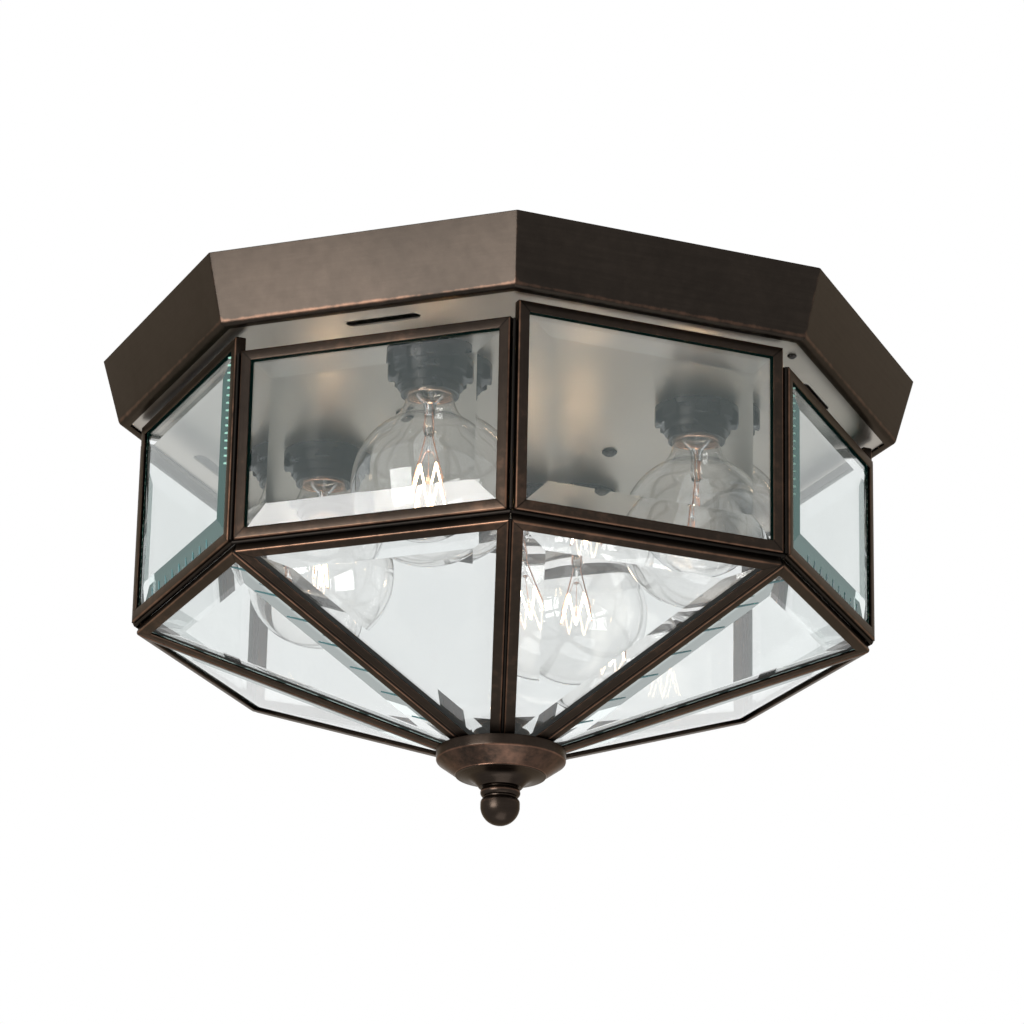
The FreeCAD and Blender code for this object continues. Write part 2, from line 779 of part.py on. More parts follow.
def make_filament(number):
    """Two lead wires with the filament strung between them, over a button and two
    anchors under the stem, in the globe's own frame."""
    tip = size("bulb_neck_top") - size("stem_length")
    spread = size("filament_spread")
    lead = size("support_radius")
    coil = size("filament_radius")
    beside = size("stem_radius") + lead
    button = Vector(0, 0, tip - coil - size("joint_gap"))
    feet = [Vector(0, side * spread, tip - size("filament_drop")) for side in (-1, 1)]
    peaks = [Vector(0, side * spread / 2, tip - size("filament_peak")) for side in (-1, 1)]
    dip = Vector(0, 0, tip - size("filament_dip"))
    strung = [feet[0], peaks[0], dip, peaks[1], feet[1]]
    pieces = [Part.makeSphere(coil, place) for place in strung + [button]]
    for start, finish in zip(strung, strung[1:]):
        pieces.append(wire_between(start, finish, coil))
    for side, foot, peak in zip((-1, 1), feet, peaks):
        head = Vector(0, side * beside, tip + size("support_overlap"))
        pieces.append(wire_between(head, foot, lead))
        pieces.append(wire_between(button, peak, size("anchor_radius")))
    feature = doc.addObject("Part::Feature", "bulb_filament_%d" % number)
    feature.Shape = pieces[0].fuse(pieces[1:])
    feature.Label = feature.Name
    feature.Placement = lamp_place(number, size("bulb_centre_depth"))
    return feature


def bent_lead(start, rise, end, drop):
    """Insulated lead: up from the start, level to above the end, then down into it."""
    bend = size("lead_bend")
    radius = size("lead_radius")
    top = start + Vector(0, 0, rise)
    over = Vector(end.x, end.y, top.z)
    level = (over - top).normalize()
    up = Vector(0, 0, 1)
    slant = math.sqrt(0.5)
    first = top - up * bend
    second = top + level * bend
    third = over - level * bend
    fourth = over - up * bend
    first_middle = top + (level - up) * bend * (1 - slant)
    last_middle = over - (level + up) * bend * (1 - slant)
    path = Part.Wire([
        Part.LineSegment(start, first).toShape(),
        Part.Arc(first, first_middle, second).toShape(),
        Part.LineSegment(second, third).toShape(),
        Part.Arc(third, last_middle, fourth).toShape(),
        Part.LineSegment(fourth, over - up * drop).toShape(),
    ])
    section = Part.Wire([Part.Circle(start, up, radius).toShape()])
    return path.makePipeShell([section], True, False)


def make_wiring():
    """Two leads from each lampholder to the two splices that lie beside the rod."""
    pieces = []
    floor_level = -size("plate_top_depth")
    rear = size("socket_rear_height") - size("plate_under_depth")
    tip_height = size("splice_height")
    for colour, side in ((0, 1), (1, -1)):
        splice = polar(size("splice_reach"), size("strap_angle") + side * 90, floor_level)
        cone = Part.makeCone(size("splice_tip_radius"), size("splice_radius"), tip_height,
                             splice)
        pieces.append(cone)
        mouth = splice + Vector(0, 0, tip_height)
        level = -size("lead_level") + colour * size("lead_level_step")
        for number in range(1, LAMPS + 1):
            angle = lamp_angle(number)
            across = polar(size("lead_spacing"), angle + side * 90, 0)
            start = polar(size("lamp_radius"), angle, rear) + across
            end = mouth + polar(size("lead_radius") * 1.6, angle, 0)
            pieces.append(bent_lead(start, level - rear, end, level - mouth.z))
    feature = doc.addObject("Part::Feature", "wiring")
    feature.Shape = Part.makeCompound(pieces)
    feature.Label = "wiring"
    feature.Placement = Placement()
    return feature


# ---------------------------------------------------------------- glazed cage

def side_angle(number):
    return FIRST_SIDE - (number - 1) * 2 * HALF_SIDE


def side_height(number):
    """The vertical frames are short and tall in turn."""
    return "short_height" if number % 2 else "tall_height"


def upper_place(number):
    angle = side_angle(number)
    return Placement(polar(size("cage_flat"), angle, -size("cage_foot_depth")),
                     turned(angle + 90).Rotation)


def make_upper_frame(number):
    """Channel frame around a vertical pane; outer face on its XZ plane."""
    body = new_body("upper_frame_%d" % number)
    height = side_height(number)
    outer = sketch_on(body, "XZ_Plane", "outer")
    rectangle(outer, "upper_width / 2", "0", height)
    pad(body, outer, "channel_depth", reverse=True)
    opening = sketch_on(body, "XZ_Plane", "opening")
    rectangle(opening, "upper_width / 2 - channel_face", "channel_face",
              height + " - channel_face")
    pocket(body, opening, "channel_depth")
    groove = sketch_on(body, "XZ_Plane", "groove", "-channel_wall")
    rectangle(groove, "upper_width / 2 - channel_wall", "channel_wall",
              height + " - channel_wall")
    pocket(body, groove, "groove_width")
    body.Placement = upper_place(number)
    return body


def make_upper_glass(number):
    """Clear pane, bevelled on its outer face."""
    body = new_body("upper_glass_%d" % number)
    height = side_height(number)
    back = sketch_on(body, "XZ_Plane", "back", "-pane_back")
    rectangle(back, "upper_width / 2 - pane_margin", "pane_margin", height + " - pane_margin")
    pad(body, back, "glass_edge")
    rim = sketch_on(body, "XZ_Plane", "rim", "glass_edge - pane_back")
    rectangle(rim, "upper_width / 2 - pane_margin", "pane_margin", height + " - pane_margin")
    flat = sketch_on(body, "XZ_Plane", "flat", "glass_thickness - pane_back")
    rectangle(flat, "upper_width / 2 - flat_margin", "flat_margin", height + " - flat_margin")
    loft(body, rim, [flat])
    body.Placement = upper_place(number)
    return body


def lower_place(number):
    """Origin in the middle of the top edge, X along it, Y down the slope and Z
    through the pane towards the inside."""
    angle = side_angle(number)
    slope = math.radians(size("lower_slope"))
    outward = polar(1, angle, 0)
    along = polar(1, angle + 90, 0)
    up = Vector(0, 0, 1)
    down_slope = outward * -math.cos(slope) - up * math.sin(slope)
    inward = up * math.cos(slope) - outward * math.sin(slope)
    return Placement(polar(size("lower_flat"), angle, -size("lower_top_depth")),
                     Rotation(along, down_slope, inward, "ZXY"))


def trapezoid(sketch, margin, end="", end_half=""):
    """Outline of a sloping pane, drawn in from the frame's edge by a margin."""
    low = "(lower_length - (%s))" % margin
    if end:
        low = end
    corners = []
    for y, side in ((margin, "-"), (margin, ""), (low, ""), (low, "-")):
        half = ("(lower_half_top - (%s) * tan(lower_lean * 1 deg)"
                " - (%s) / cos(lower_lean * 1 deg))" % (y, margin))
        if end_half and y == low:
            half = end_half
        corners.append((side + half, y))
    outline(sketch, corners)


def make_lower_frame(number):
    """Channel frame around a sloping pane; outer face on its XY plane."""
    body = new_body("lower_frame_%d" % number)
    outer = sketch_on(body, "XY_Plane", "outer")
    trapezoid(outer, "0")
    pad(body, outer, "channel_depth")
    opening = sketch_on(body, "XY_Plane", "opening")
    trapezoid(opening, "channel_face")
    pocket(body, opening, "channel_depth", reverse=True)
    groove = sketch_on(body, "XY_Plane", "groove", "channel_wall")
    trapezoid(groove, "channel_wall")
    pocket(body, groove, "groove_width", reverse=True)
    body.Placement = lower_place(number)
    return body


def make_lower_glass(number):
    """Sloping pane; its side bevels meet in a point above the hub."""
    body = new_body("lower_glass_%d" % number)
    back = sketch_on(body, "XY_Plane", "back", "pane_back")
    trapezoid(back, "pane_margin")
    pad(body, back, "glass_edge", reverse=True)
    rim = sketch_on(body, "XY_Plane", "rim", "pane_back - glass_edge")
    trapezoid(rim, "pane_margin")
    flat = sketch_on(body, "XY_Plane", "flat", "pane_back - glass_thickness")
    trapezoid(flat, "flat_margin", "flat_point", "flat_point_half")
    loft(body, rim, [flat])
    body.Placement = lower_place(number)
    return body


def make_hub_plate():
    """Tapered octagonal seat that the sloping frames close on, with a round boss."""
    body = new_body("hub_plate")
    foot = sketch_on(body, "XY_Plane", "foot")
    octagon(foot, "(hub_flat - joint_gap) / cos(22.5 deg)")
    head = sketch_on(body, "XY_Plane", "head", "hub_rise")
    octagon(head, "(hub_flat - joint_gap - channel_depth * sin(lower_slope * 1 deg))"
                  " / cos(22.5 deg)")
    loft(body, foot, [head])
    boss = sketch_on(body, "XY_Plane", "boss")
    circle(boss, "hub_boss_radius")
    pad(body, boss, "hub_rise + hub_boss_height")
    doc.recompute()
    hole = sketch_on(body, "XY_Plane", "hole")
    circle(hole, "rod_hole")
    pocket(body, hole, "hub_rise + hub_boss_height", reverse=True)
    body.Placement = Placement(polar(0, 0, -size("hub_depth")), Rotation())
    return body


def make_hub_cap():
    """Spun cap: straight rim, rounded shoulder, ridge, and a cove to the finial."""
    body = turned_body("hub_cap", [
        ("cap_radius", "0"),
        ("cap_radius - cap_sheet", "0"),
        ("cap_radius - cap_sheet", "-cap_rim"),
        ("cap_ridge_radius - cap_ridge_step", "cap_sheet - cap_ridge_drop - cap_ridge_step",
         "cap_cove + cap_sheet"),
        ("cap_neck_radius - cap_sheet / 2", "cap_sheet - cap_height"),
        ("rod_hole", "cap_sheet - cap_height"),
        ("rod_hole", "-cap_height"),
        ("cap_neck_radius", "-cap_height", "-cap_cove"),
        ("cap_ridge_radius - cap_ridge_step", "-cap_ridge_drop - cap_ridge_step"),
        ("cap_ridge_radius", "-cap_ridge_drop - cap_ridge_step"),
        ("cap_ridge_radius", "-cap_ridge_drop"),
        ("cap_radius - cap_shoulder", "-cap_rim - cap_shoulder", "cap_shoulder"),
        ("cap_radius", "-cap_rim"),
    ])
    body.Placement = Placement(polar(0, 0, -size("cap_top_depth")), Rotation())
    return body


def make_finial():
    """Turned finial nut: bead collar, groove and ball, bored for the rod."""
    body = turned_body("finial", [
        ("rod_radius + thread_clearance", "0"),
        ("rod_radius + thread_clearance", "-finial_bore_depth"),
        ("0", "-finial_bore_depth"),
        ("0", "-finial_length", "finial_ball_curve"),
        ("finial_ball_radius", "finial_ball_low"),
        ("finial_ball_radius", "finial_ball_low + finial_ball_straight", "finial_ball_round"),
        ("finial_neck_radius", "-finial_collar_height - finial_neck_height"),
        ("finial_neck_radius", "-finial_collar_height", "finial_bead"),
        ("finial_neck_radius + 0.8", "0"),
    ])
    body.Placement = Placement(polar(0, 0, -size("finial_top_depth")), Rotation())
    return body


# ---------------------------------------------------------------- assembly

def build_lantern():
    pieces = [
        make_canopy_shell(),
        make_reflector_plate(),
        make_plate_fixings(),
        make_mounting_strap(),
        make_mounting_screws(),
        make_center_rod(),
        make_rod_nuts(),
        make_socket_shells(),
        make_wiring(),
        make_hub_plate(),
        make_hub_cap(),
        make_finial(),
    ]
    for number in range(1, LAMPS + 1):
        pieces.append(make_socket(number))
        pieces.append(make_bulb_base(number))
        pieces.append(make_bulb_glass(number))
        pieces.append(make_filament(number))
    for number in range(1, SIDES + 1):
        pieces.append(make_upper_frame(number))
        pieces.append(make_upper_glass(number))
        pieces.append(make_lower_frame(number))
        pieces.append(make_lower_glass(number))
    return pieces


def check_document(pieces):
    """Every object computed, and every piece a valid solid."""
    for thing in doc.Objects:
        if "Invalid" in thing.State or "Error" in thing.State:
            raise RuntimeError("%s did not compute: %s" % (thing.Name, thing.State))
    for piece in pieces:
        if piece.Shape.isNull() or not piece.Shape.isValid() or not piece.Shape.Solids:
            raise RuntimeError("%s has no valid solid" % piece.Label)


def write_parts(pieces):
    os.makedirs("parts", exist_ok=True)
    for piece in pieces:
        piece.Shape.exportStep("parts/%s.step" % piece.Label)
        print("%-18s %d solid(s) %10.1f mm3" % (
            piece.Label, len(piece.Shape.Solids), piece.Shape.Volume))


fill_sheet()
lantern = build_lantern()
doc.recompute()
check_document(lantern)
write_parts(lantern)
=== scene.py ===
import bpy
import json
import math
from mathutils import Matrix, Vector


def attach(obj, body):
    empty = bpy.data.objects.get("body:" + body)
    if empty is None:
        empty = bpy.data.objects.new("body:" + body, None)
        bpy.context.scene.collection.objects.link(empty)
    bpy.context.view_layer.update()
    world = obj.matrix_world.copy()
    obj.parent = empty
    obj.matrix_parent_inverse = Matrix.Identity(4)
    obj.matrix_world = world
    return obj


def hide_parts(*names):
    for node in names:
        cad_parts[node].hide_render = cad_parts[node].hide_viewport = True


# Octagonal porch ceiling lantern, hanging below the ceiling at Z = 0.  The helpers
# take millimetres and degrees, and MM turns lengths into the frame's metres.

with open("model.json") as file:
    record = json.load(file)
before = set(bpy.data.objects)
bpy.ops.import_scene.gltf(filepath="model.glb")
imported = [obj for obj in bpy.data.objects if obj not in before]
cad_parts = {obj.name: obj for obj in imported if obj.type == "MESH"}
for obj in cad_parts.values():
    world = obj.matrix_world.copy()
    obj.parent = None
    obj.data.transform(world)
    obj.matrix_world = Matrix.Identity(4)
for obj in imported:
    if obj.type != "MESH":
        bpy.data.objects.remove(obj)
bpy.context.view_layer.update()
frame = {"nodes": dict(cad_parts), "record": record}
nodes = frame["nodes"]
scene = bpy.context.scene
MM = 0.001
UP = Vector((0, 0, 1))
SIDES = 8
SIDE_TURN = 45
HALF_TURN = math.radians(22.5)
FIRST_SIDE = -112.5
FIRST_CORNER = FIRST_SIDE + 22.5


# ---------------------------------------------------------------- camera

def make_camera():
    """Camera at the photograph's place, found from the octagon's corners."""
    data = bpy.data.cameras.new("camera")
    data.sensor_width = 36.0
    data.lens = 150.643
    data.clip_end = 50.0
    camera = bpy.data.objects.new("camera", data)
    scene.collection.objects.link(camera)
    right = (0.999624, -0.019769, 0.018984)
    up = (-0.024498, -0.333926, 0.942281)
    back = (-0.012289, -0.942392, -0.334284)
    turn = Matrix((right, up, back)).transposed().to_4x4()
    camera.matrix_world = Matrix.Translation((-0.02509, -2.166382, -0.849259)) @ turn
    scene.camera = camera


make_camera()


# ---------------------------------------------------------------- materials

class Nodes:
    """Short way to write the node tree of a material or of the world."""

    def __init__(self, name, world=False):
        self.owner = (bpy.data.worlds if world else bpy.data.materials).new(name)
        self.owner.use_nodes = True
        self.tree = self.owner.node_tree
        self.tree.nodes.clear()
        self.output = self.add("ShaderNodeOutputWorld" if world else "ShaderNodeOutputMaterial")

    def add(self, kind, **settings):
        """New node; in_Some_Name sets the input "Some Name", any other key a property."""
        node = self.tree.nodes.new(kind)
        for key, value in settings.items():
            if key.startswith("in_"):
                node.inputs[key[3:].replace("_", " ")].default_value = value
            else:
                setattr(node, key, value)
        return node

    def link(self, source, target):
        self.tree.links.new(source, target)

    def surface(self, **settings):
        """Principled shader on the output, with these inputs set."""
        shader = self.add("ShaderNodeBsdfPrincipled")
        for key, value in settings.items():
            shader.inputs[key.replace("_", " ")].default_value = value
        self.link(shader.outputs[0], self.output.inputs["Surface"])
        return shader

    def place(self, scale=(1, 1, 1), which="Object", turn=(0, 0, 0)):
        """Texture coordinates, scaled and turned."""
        source = self.add("ShaderNodeTexCoord")
        mapping = self.add("ShaderNodeMapping")
        mapping.inputs["Scale"].default_value = scale
        mapping.inputs["Rotation"].default_value = turn
        self.link(source.outputs[which], mapping.inputs["Vector"])
        return mapping.outputs[0]

    def noise(self, where, scale, detail=3.0, rough=0.55, distort=0.0):
        node = self.add("ShaderNodeTexNoise")
        node.inputs["Scale"].default_value = scale
        node.inputs["Detail"].default_value = detail
        node.inputs["Roughness"].default_value = rough
        node.inputs["Distortion"].default_value = distort
        self.link(where, node.inputs["Vector"])
        return node.outputs["Fac"]

    def ramp(self, source, *stops):
        """Colour ramp through (position, grey or colour) stops."""
        node = self.add("ShaderNodeValToRGB")
        elements = node.color_ramp.elements
        while len(elements) < len(stops):
            elements.new(0.5)
        for element, (position, colour) in zip(elements, stops):
            element.position = position
            if isinstance(colour, (int, float)):
                colour = (colour, colour, colour)
            element.color = tuple(colour) + (1.0,)
        self.link(source, node.inputs["Fac"])
        return node.outputs["Color"]

    def mix(self, factor, a, b, blend="MIX"):
        """Mix of two colours, each a socket or a constant."""
        node = self.add("ShaderNodeMix", data_type="RGBA", blend_type=blend)
        factor_in, a_in, b_in = node.inputs[0], node.inputs[6], node.inputs[7]
        for value, socket in ((factor, factor_in), (a, a_in), (b, b_in)):
            if hasattr(value, "is_linked"):
                self.link(value, socket)
            elif isinstance(value, (int, float)):
                socket.default_value = value
            else:
                socket.default_value = tuple(value) + (1.0,)
        return node.outputs[2]

    def math(self, operation, *values):
        """Sum, product or the like of sockets and constants."""
        node = self.add("ShaderNodeMath", operation=operation)
        for value, socket in zip(values, node.inputs):
            if hasattr(value, "is_linked"):
                self.link(value, socket)
            else:
                socket.default_value = value
        return node.outputs[0]

    def attribute(self, name):
        """Value painted on the points of the mesh."""
        return self.add("ShaderNodeAttribute", attribute_name=name).outputs["Fac"]

    def bump(self, shader, height, distance, strength=1.0):
        node = self.add("ShaderNodeBump")
        node.inputs["Distance"].default_value = distance
        node.inputs["Strength"].default_value = strength
        self.link(height, node.inputs["Height"])
        self.link(node.outputs[0], shader.inputs["Normal"])


def bronze(name, base, warm, copper, rough, attribute=True, streak=(5, 120, 1)):
    """Dark antique bronze: clouded, faintly streaked, and, on meshes that carry the
    attributes, rubbed back to copper on edges and ridges, a copper that also paints their
    highlights, and dark in the joints ("seam")."""
    n = Nodes(name)
    where = n.place()
    along = n.place(streak, "UV") if attribute else n.place((60, 60, 400))
    cloud = n.noise(where, scale=11.0, detail=4.0, rough=0.6, distort=0.3)
    speck = n.noise(where, scale=170.0, rough=0.65)
    lines = n.noise(along, scale=4.0, rough=0.6)
    colour = n.mix(n.ramp(cloud, (0.32, 0.0), (0.72, 1.0)), base, warm)
    dark = n.ramp(n.math("MULTIPLY", lines, speck), (0.1, 0.72), (0.4, 1.0))
    colour = n.mix(1.0, colour, dark, "MULTIPLY")
    if attribute:
        # Painted highlight: the copper on edges and ridges stands both for wear and for the
        # highlights there.
        rub_and_highlight = n.math("MULTIPLY", n.attribute("rub_and_highlight"), n.math("ADD", cloud, speck))
        rub_and_highlight = n.ramp(rub_and_highlight, (0.38, 0.0), (1.15, 1.0))
        colour = n.mix(rub_and_highlight, colour, copper)
        colour = n.mix(n.attribute("seam"), colour, tuple(0.25 * c for c in base))
    shader = n.surface(Metallic=0.9, Coat_Weight=0.03, Coat_Roughness=0.3, Coat_IOR=1.45,
                       Specular_Tint=(0.55, 0.50, 0.45, 1.0))
    n.link(colour, shader.inputs["Base Color"])
    gloss = n.math("MULTIPLY_ADD", n.math("ADD", cloud, lines), 0.12, rough - 0.12)
    n.link(gloss, shader.inputs["Roughness"])
    grain = n.math("ADD", lines, n.math("MULTIPLY", speck, 0.4))
    n.bump(shader, grain, distance=0.00006, strength=0.4)
    return n.owner


def satin_sheet():
    """Rolled reflector sheet: soft mirror with faint rolling lines and stains."""
    n = Nodes("reflector_satin")
    where = n.place()
    rolled = n.place((300, 9, 9), turn=(0, 0, math.radians(12)))
    lines = n.noise(rolled, scale=1.0, detail=4.0, rough=0.7)
    cloud = n.noise(where, scale=7.0, rough=0.6)
    colour = n.mix(n.ramp(cloud, (0.3, 0.0), (0.7, 1.0)), (0.330, 0.296, 0.252),
                   (0.385, 0.348, 0.296))
    colour = n.mix(1.0, colour, n.ramp(lines, (0.2, 0.93), (0.8, 1.0)), "MULTIPLY")
    shader = n.surface(Metallic=1.0)
    n.link(colour, shader.inputs["Base Color"])
    gloss = n.math("MULTIPLY_ADD", n.math("ADD", cloud, lines), 0.08, 0.235)
    n.link(gloss, shader.inputs["Roughness"])
    n.bump(shader, cloud, distance=0.00001, strength=0.3)
    return n.owner


def glass_body(n, body, density, carried):
    """Green body colour of the glass, and the weak glow that stands for the light it
    pipes along inside itself. carried is the glow's red, green, blue and strength."""
    inside = n.add("ShaderNodeVolumeAbsorption")
    inside.inputs["Color"].default_value = tuple(body) + (1.0,)
    inside.inputs["Density"].default_value = density
    piped = n.add("ShaderNodeEmission")
    piped.inputs["Color"].default_value = tuple(carried[:3]) + (1.0,)
    piped.inputs["Strength"].default_value = carried[3]
    both = n.add("ShaderNodeAddShader")
    n.link(inside.outputs[0], both.inputs[0])
    n.link(piped.outputs[0], both.inputs[1])
    n.link(both.outputs[0], n.output.inputs["Volume"])


def clear_glass(name, tint, waves, height, body=None, density=0.0, carried=None):
    """Clear glass with the faint ripple of drawn or blown sheet."""
    n = Nodes(name)
    where = n.place()
    ripple = n.noise(where, scale=waves, detail=1.0, rough=0.3)
    haze = n.noise(where, scale=35.0, rough=0.6)
    shader = n.surface(Roughness=0.0, IOR=1.47, Transmission_Weight=1.0)
    colour = n.mix(n.ramp(haze, (0.3, 0.0), (0.8, 1.0)), tint, tuple(0.99 * c for c in tint))
    n.link(colour, shader.inputs["Base Color"])
    n.bump(shader, ripple, distance=height)
    if body:
        glass_body(n, body, density, carried)
    return n.owner


def ground_edge(name, low, high, ticks, sharp, body, density, carried):
    """Ground rim of a pane, teal with bands of painted reflection, seen only from inside the
    glass.
    """
    n = Nodes(name)
    steps = n.add("ShaderNodeTexWave", wave_type="BANDS", bands_direction="Y",
                  in_Scale=ticks, in_Distortion=0.6)
    n.link(n.place(which="UV"), steps.inputs["Vector"])
    shader = n.surface(Roughness=0.6)
    fleck = n.noise(n.place(), scale=400.0, detail=2.0)
    colour = n.mix(n.ramp(steps.outputs["Fac"], (sharp, 0.0), (sharp + 0.12, 1.0)), low, high)
    colour = n.mix(1.0, colour, n.ramp(fleck, (0.2, 0.85), (0.8, 1.0)), "MULTIPLY")
    n.link(colour, shader.inputs["Base Color"])
    glass_body(n, body, density, carried)
    return n.owner


def moulded(name, dark, light, rough, clear=0.0):
    """Moulded or ground surface: fine grain, worn sheen, clear where light passes."""
    n = Nodes(name)
    where = n.place()
    cloud = n.noise(where, scale=60.0, rough=0.6)
    fine = n.noise(where, scale=900.0, detail=2.0, rough=0.6)
    colour = n.mix(n.ramp(cloud, (0.3, 0.0), (0.75, 1.0)), dark, light)
    shader = n.surface(Specular_IOR_Level=0.38, Transmission_Weight=clear)
    n.link(colour, shader.inputs["Base Color"])
    n.link(n.math("MULTIPLY_ADD", cloud, 0.2, rough - 0.1), shader.inputs["Roughness"])
    n.bump(shader, fine, distance=0.00001, strength=0.3)
    return n.owner


# Width of one band of a wave texture at scale 1.
WAVE_PERIOD = 0.31416


def plated(name, low, high, rough, thread=0.0):
    """Plated metal, with rolled threads where a pitch in metres is given."""
    n = Nodes(name)
    where = n.place()
    cloud = n.noise(where, scale=40.0, rough=0.6)
    fine = n.noise(where, scale=300.0, rough=0.6)
    colour = n.mix(n.ramp(cloud, (0.35, 0.0), (0.7, 1.0)), low, high)
    shader = n.surface(Metallic=1.0)
    n.link(n.math("MULTIPLY_ADD", fine, 0.2, rough - 0.1), shader.inputs["Roughness"])
    if thread:
        wave = n.add("ShaderNodeTexWave", wave_type="BANDS", bands_direction="Z",
                     in_Scale=WAVE_PERIOD / thread)
        n.link(where, wave.inputs["Vector"])
        n.bump(shader, wave.outputs["Fac"], distance=0.0004, strength=0.9)
        groove = n.ramp(wave.outputs["Fac"], (0.0, 0.35), (0.6, 1.0))
        colour = n.mix(1.0, colour, groove, "MULTIPLY")
    else:
        n.bump(shader, fine, distance=0.00004, strength=0.5)
    n.link(colour, shader.inputs["Base Color"])
    return n.owner


def glowing(name, colour, strength):
    """Incandescent tungsten, slightly uneven along the coil."""
    n = Nodes(name)
    turns = n.noise(n.place(), scale=900.0, detail=2.0, rough=0.5)
    shader = n.surface(Roughness=0.5, Metallic=0.6, Base_Color=(0.5, 0.42, 0.35, 1.0),
                       Emission_Strength=strength)
    n.link(n.ramp(turns, (0.2, tuple(0.75 * c for c in colour)), (0.8, colour)),
           shader.inputs["Emission Color"])
    return n.owner


# Body colour, density and carried light of the glass, in the upper and lower panes.
GLASS_BODY = (0.45, 0.86, 0.78)
ABOVE = {"body": GLASS_BODY, "density": 8.0, "carried": (0.10, 1.0, 0.86, 2.0)}
BELOW = {"body": GLASS_BODY, "density": 6.0, "carried": (0.95, 1.0, 0.99, 11.0)}
# Pitches in metres: the rod's threads, the lamps' screw, and the ribs of the neck liner.
ROD_PITCH, LAMP_PITCH, LINER_PITCH = 0.00127, 0.0036, 0.0012
MATERIALS = {
    "bronze": bronze(
        "bronze_pan", base=(0.019, 0.0150, 0.0120), warm=(0.031, 0.0240, 0.0190),
        copper=(0.16, 0.085, 0.055), rough=0.36),
    "frame_bronze": bronze(
        "bronze_frame", base=(0.020, 0.0150, 0.0118), warm=(0.038, 0.0265, 0.0195),
        copper=(0.17, 0.090, 0.056), rough=0.33),
    "frame_plain": bronze(
        "bronze_plain", base=(0.018, 0.0135, 0.0105), warm=(0.032, 0.0225, 0.0170),
        copper=(0.15, 0.078, 0.048), rough=0.35, attribute=False),
    "hub_bronze": bronze(
        "bronze_turned", base=(0.024, 0.0175, 0.0135), warm=(0.042, 0.0290, 0.0220),
        copper=(0.16, 0.083, 0.055), rough=0.30, streak=(3, 90, 1)),
    "solder": bronze(
        "seam_dark", base=(0.008, 0.007, 0.006), warm=(0.016, 0.013, 0.011),
        copper=(0.05, 0.04, 0.03), rough=0.5, attribute=False),
    "reflector": satin_sheet(),
    "pane_glass": clear_glass("pane_clear", (0.885, 0.885, 0.888), 9.0, 0.00001, **ABOVE),
    "pane_below": clear_glass("pane_below", (0.865, 0.867, 0.868), 9.0, 0.00001, **BELOW),
    # Painted reflections: the rims' light and dark teal bands stand for the reflected dashes along
    # the bevels.
    "edge_upper": ground_edge("edge_upper", (0.10, 0.30, 0.26), (0.75, 0.95, 0.85),
                              ticks=78.5, sharp=0.6, **ABOVE),
    "edge_lower": ground_edge("edge_lower", (0.72, 0.90, 0.86), (0.03, 0.10, 0.09),
                              ticks=14.5, sharp=0.8, **BELOW),
    # Painted reflections: light and dark teal marks that stand for the inner reflections of the
    # panes' ground edges.
    "reflection_light": moulded("painted_reflection_light", (0.34, 0.70, 0.57), (0.50, 0.84, 0.72), 0.3, clear=0.55),
    "reflection_dark": moulded("painted_reflection_dark", (0.020, 0.13, 0.145), (0.04, 0.20, 0.215), 0.3, clear=0.4),
    "bulb_glass": clear_glass("bulb_clear", (0.99, 0.985, 0.98), 14.0, 0.00002),
    "phenolic": moulded("phenolic_black", (0.006, 0.007, 0.009), (0.012, 0.013, 0.017), 0.24),
    "lead_pvc": moulded("lead_insulation", (0.05, 0.048, 0.045), (0.09, 0.085, 0.08), 0.45),
    "zinc_steel": plated("zinc_plate", (0.46, 0.45, 0.42), (0.60, 0.58, 0.53), 0.34),
    "black_steel": plated("screw_black", (0.030, 0.028, 0.027), (0.055, 0.050, 0.046), 0.42),
    "rod_steel": plated("rod_thread", (0.30, 0.26, 0.21), (0.44, 0.38, 0.30), 0.30, ROD_PITCH),
    "shell_brass": plated("shell_drawn", (0.62, 0.47, 0.22), (0.76, 0.60, 0.32), 0.26, LAMP_PITCH),
    "bulb_base": plated("screw_cap", (0.55, 0.53, 0.47), (0.68, 0.65, 0.58), 0.24, LAMP_PITCH),
    "filament": plated("support_wire", (0.50, 0.27, 0.20), (0.66, 0.38, 0.28), 0.30),
    "copper": plated("neck_copper", (0.60, 0.38, 0.28), (0.86, 0.66, 0.52), 0.22, LINER_PITCH),
    "coil": glowing("hot_coil", (1.0, 0.74, 0.46), 2000.0),
}


def dress_nodes():
    """Give every CAD node the material of its slot. CAD meshes carry no attributes, so
    the bronze ones take the plain bronze."""
    for part in frame["record"]["subparts"]:
        slot = part["material_slot"]
        if slot in ("frame_bronze", "bronze", "hub_bronze"):
            slot = "frame_plain"
        mesh = nodes[part["node"]].data
        mesh.materials.clear()
        mesh.materials.append(MATERIALS[slot])


dress_nodes()


# ---------------------------------------------------------------- mesh helpers

def piece(name, points, faces, material, body, replaced=(), slot=None, layers=None,
          uvs=None, sharp=38.0, place=None):
    """Smooth mesh object in metres from millimetre points, riding on a body. layers
    are values for each point, and edges over sharp degrees stay crisp."""
    mesh = bpy.data.meshes.new(name)
    place = place or Matrix.Identity(4)
    mesh.from_pydata([place @ (Vector(p) * MM) for p in points], [], faces)
    mesh.validate()
    for key, values in (layers or {}).items():
        layer = mesh.attributes.new(key, "FLOAT", "POINT")
        layer.data.foreach_set("value", values)
    if uvs:
        layer = mesh.uv_layers.new(name="UVMap")
        for loop in mesh.loops:
            layer.data[loop.index].uv = uvs[loop.vertex_index]
    mesh.materials.append(MATERIALS[material])
    mesh.shade_smooth()
    mesh.set_sharp_from_angle(angle=math.radians(sharp))
    obj = bpy.data.objects.new(name, mesh)
    scene.collection.objects.link(obj)
    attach(obj, body)
    if replaced:
        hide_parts(*replaced)
    return obj


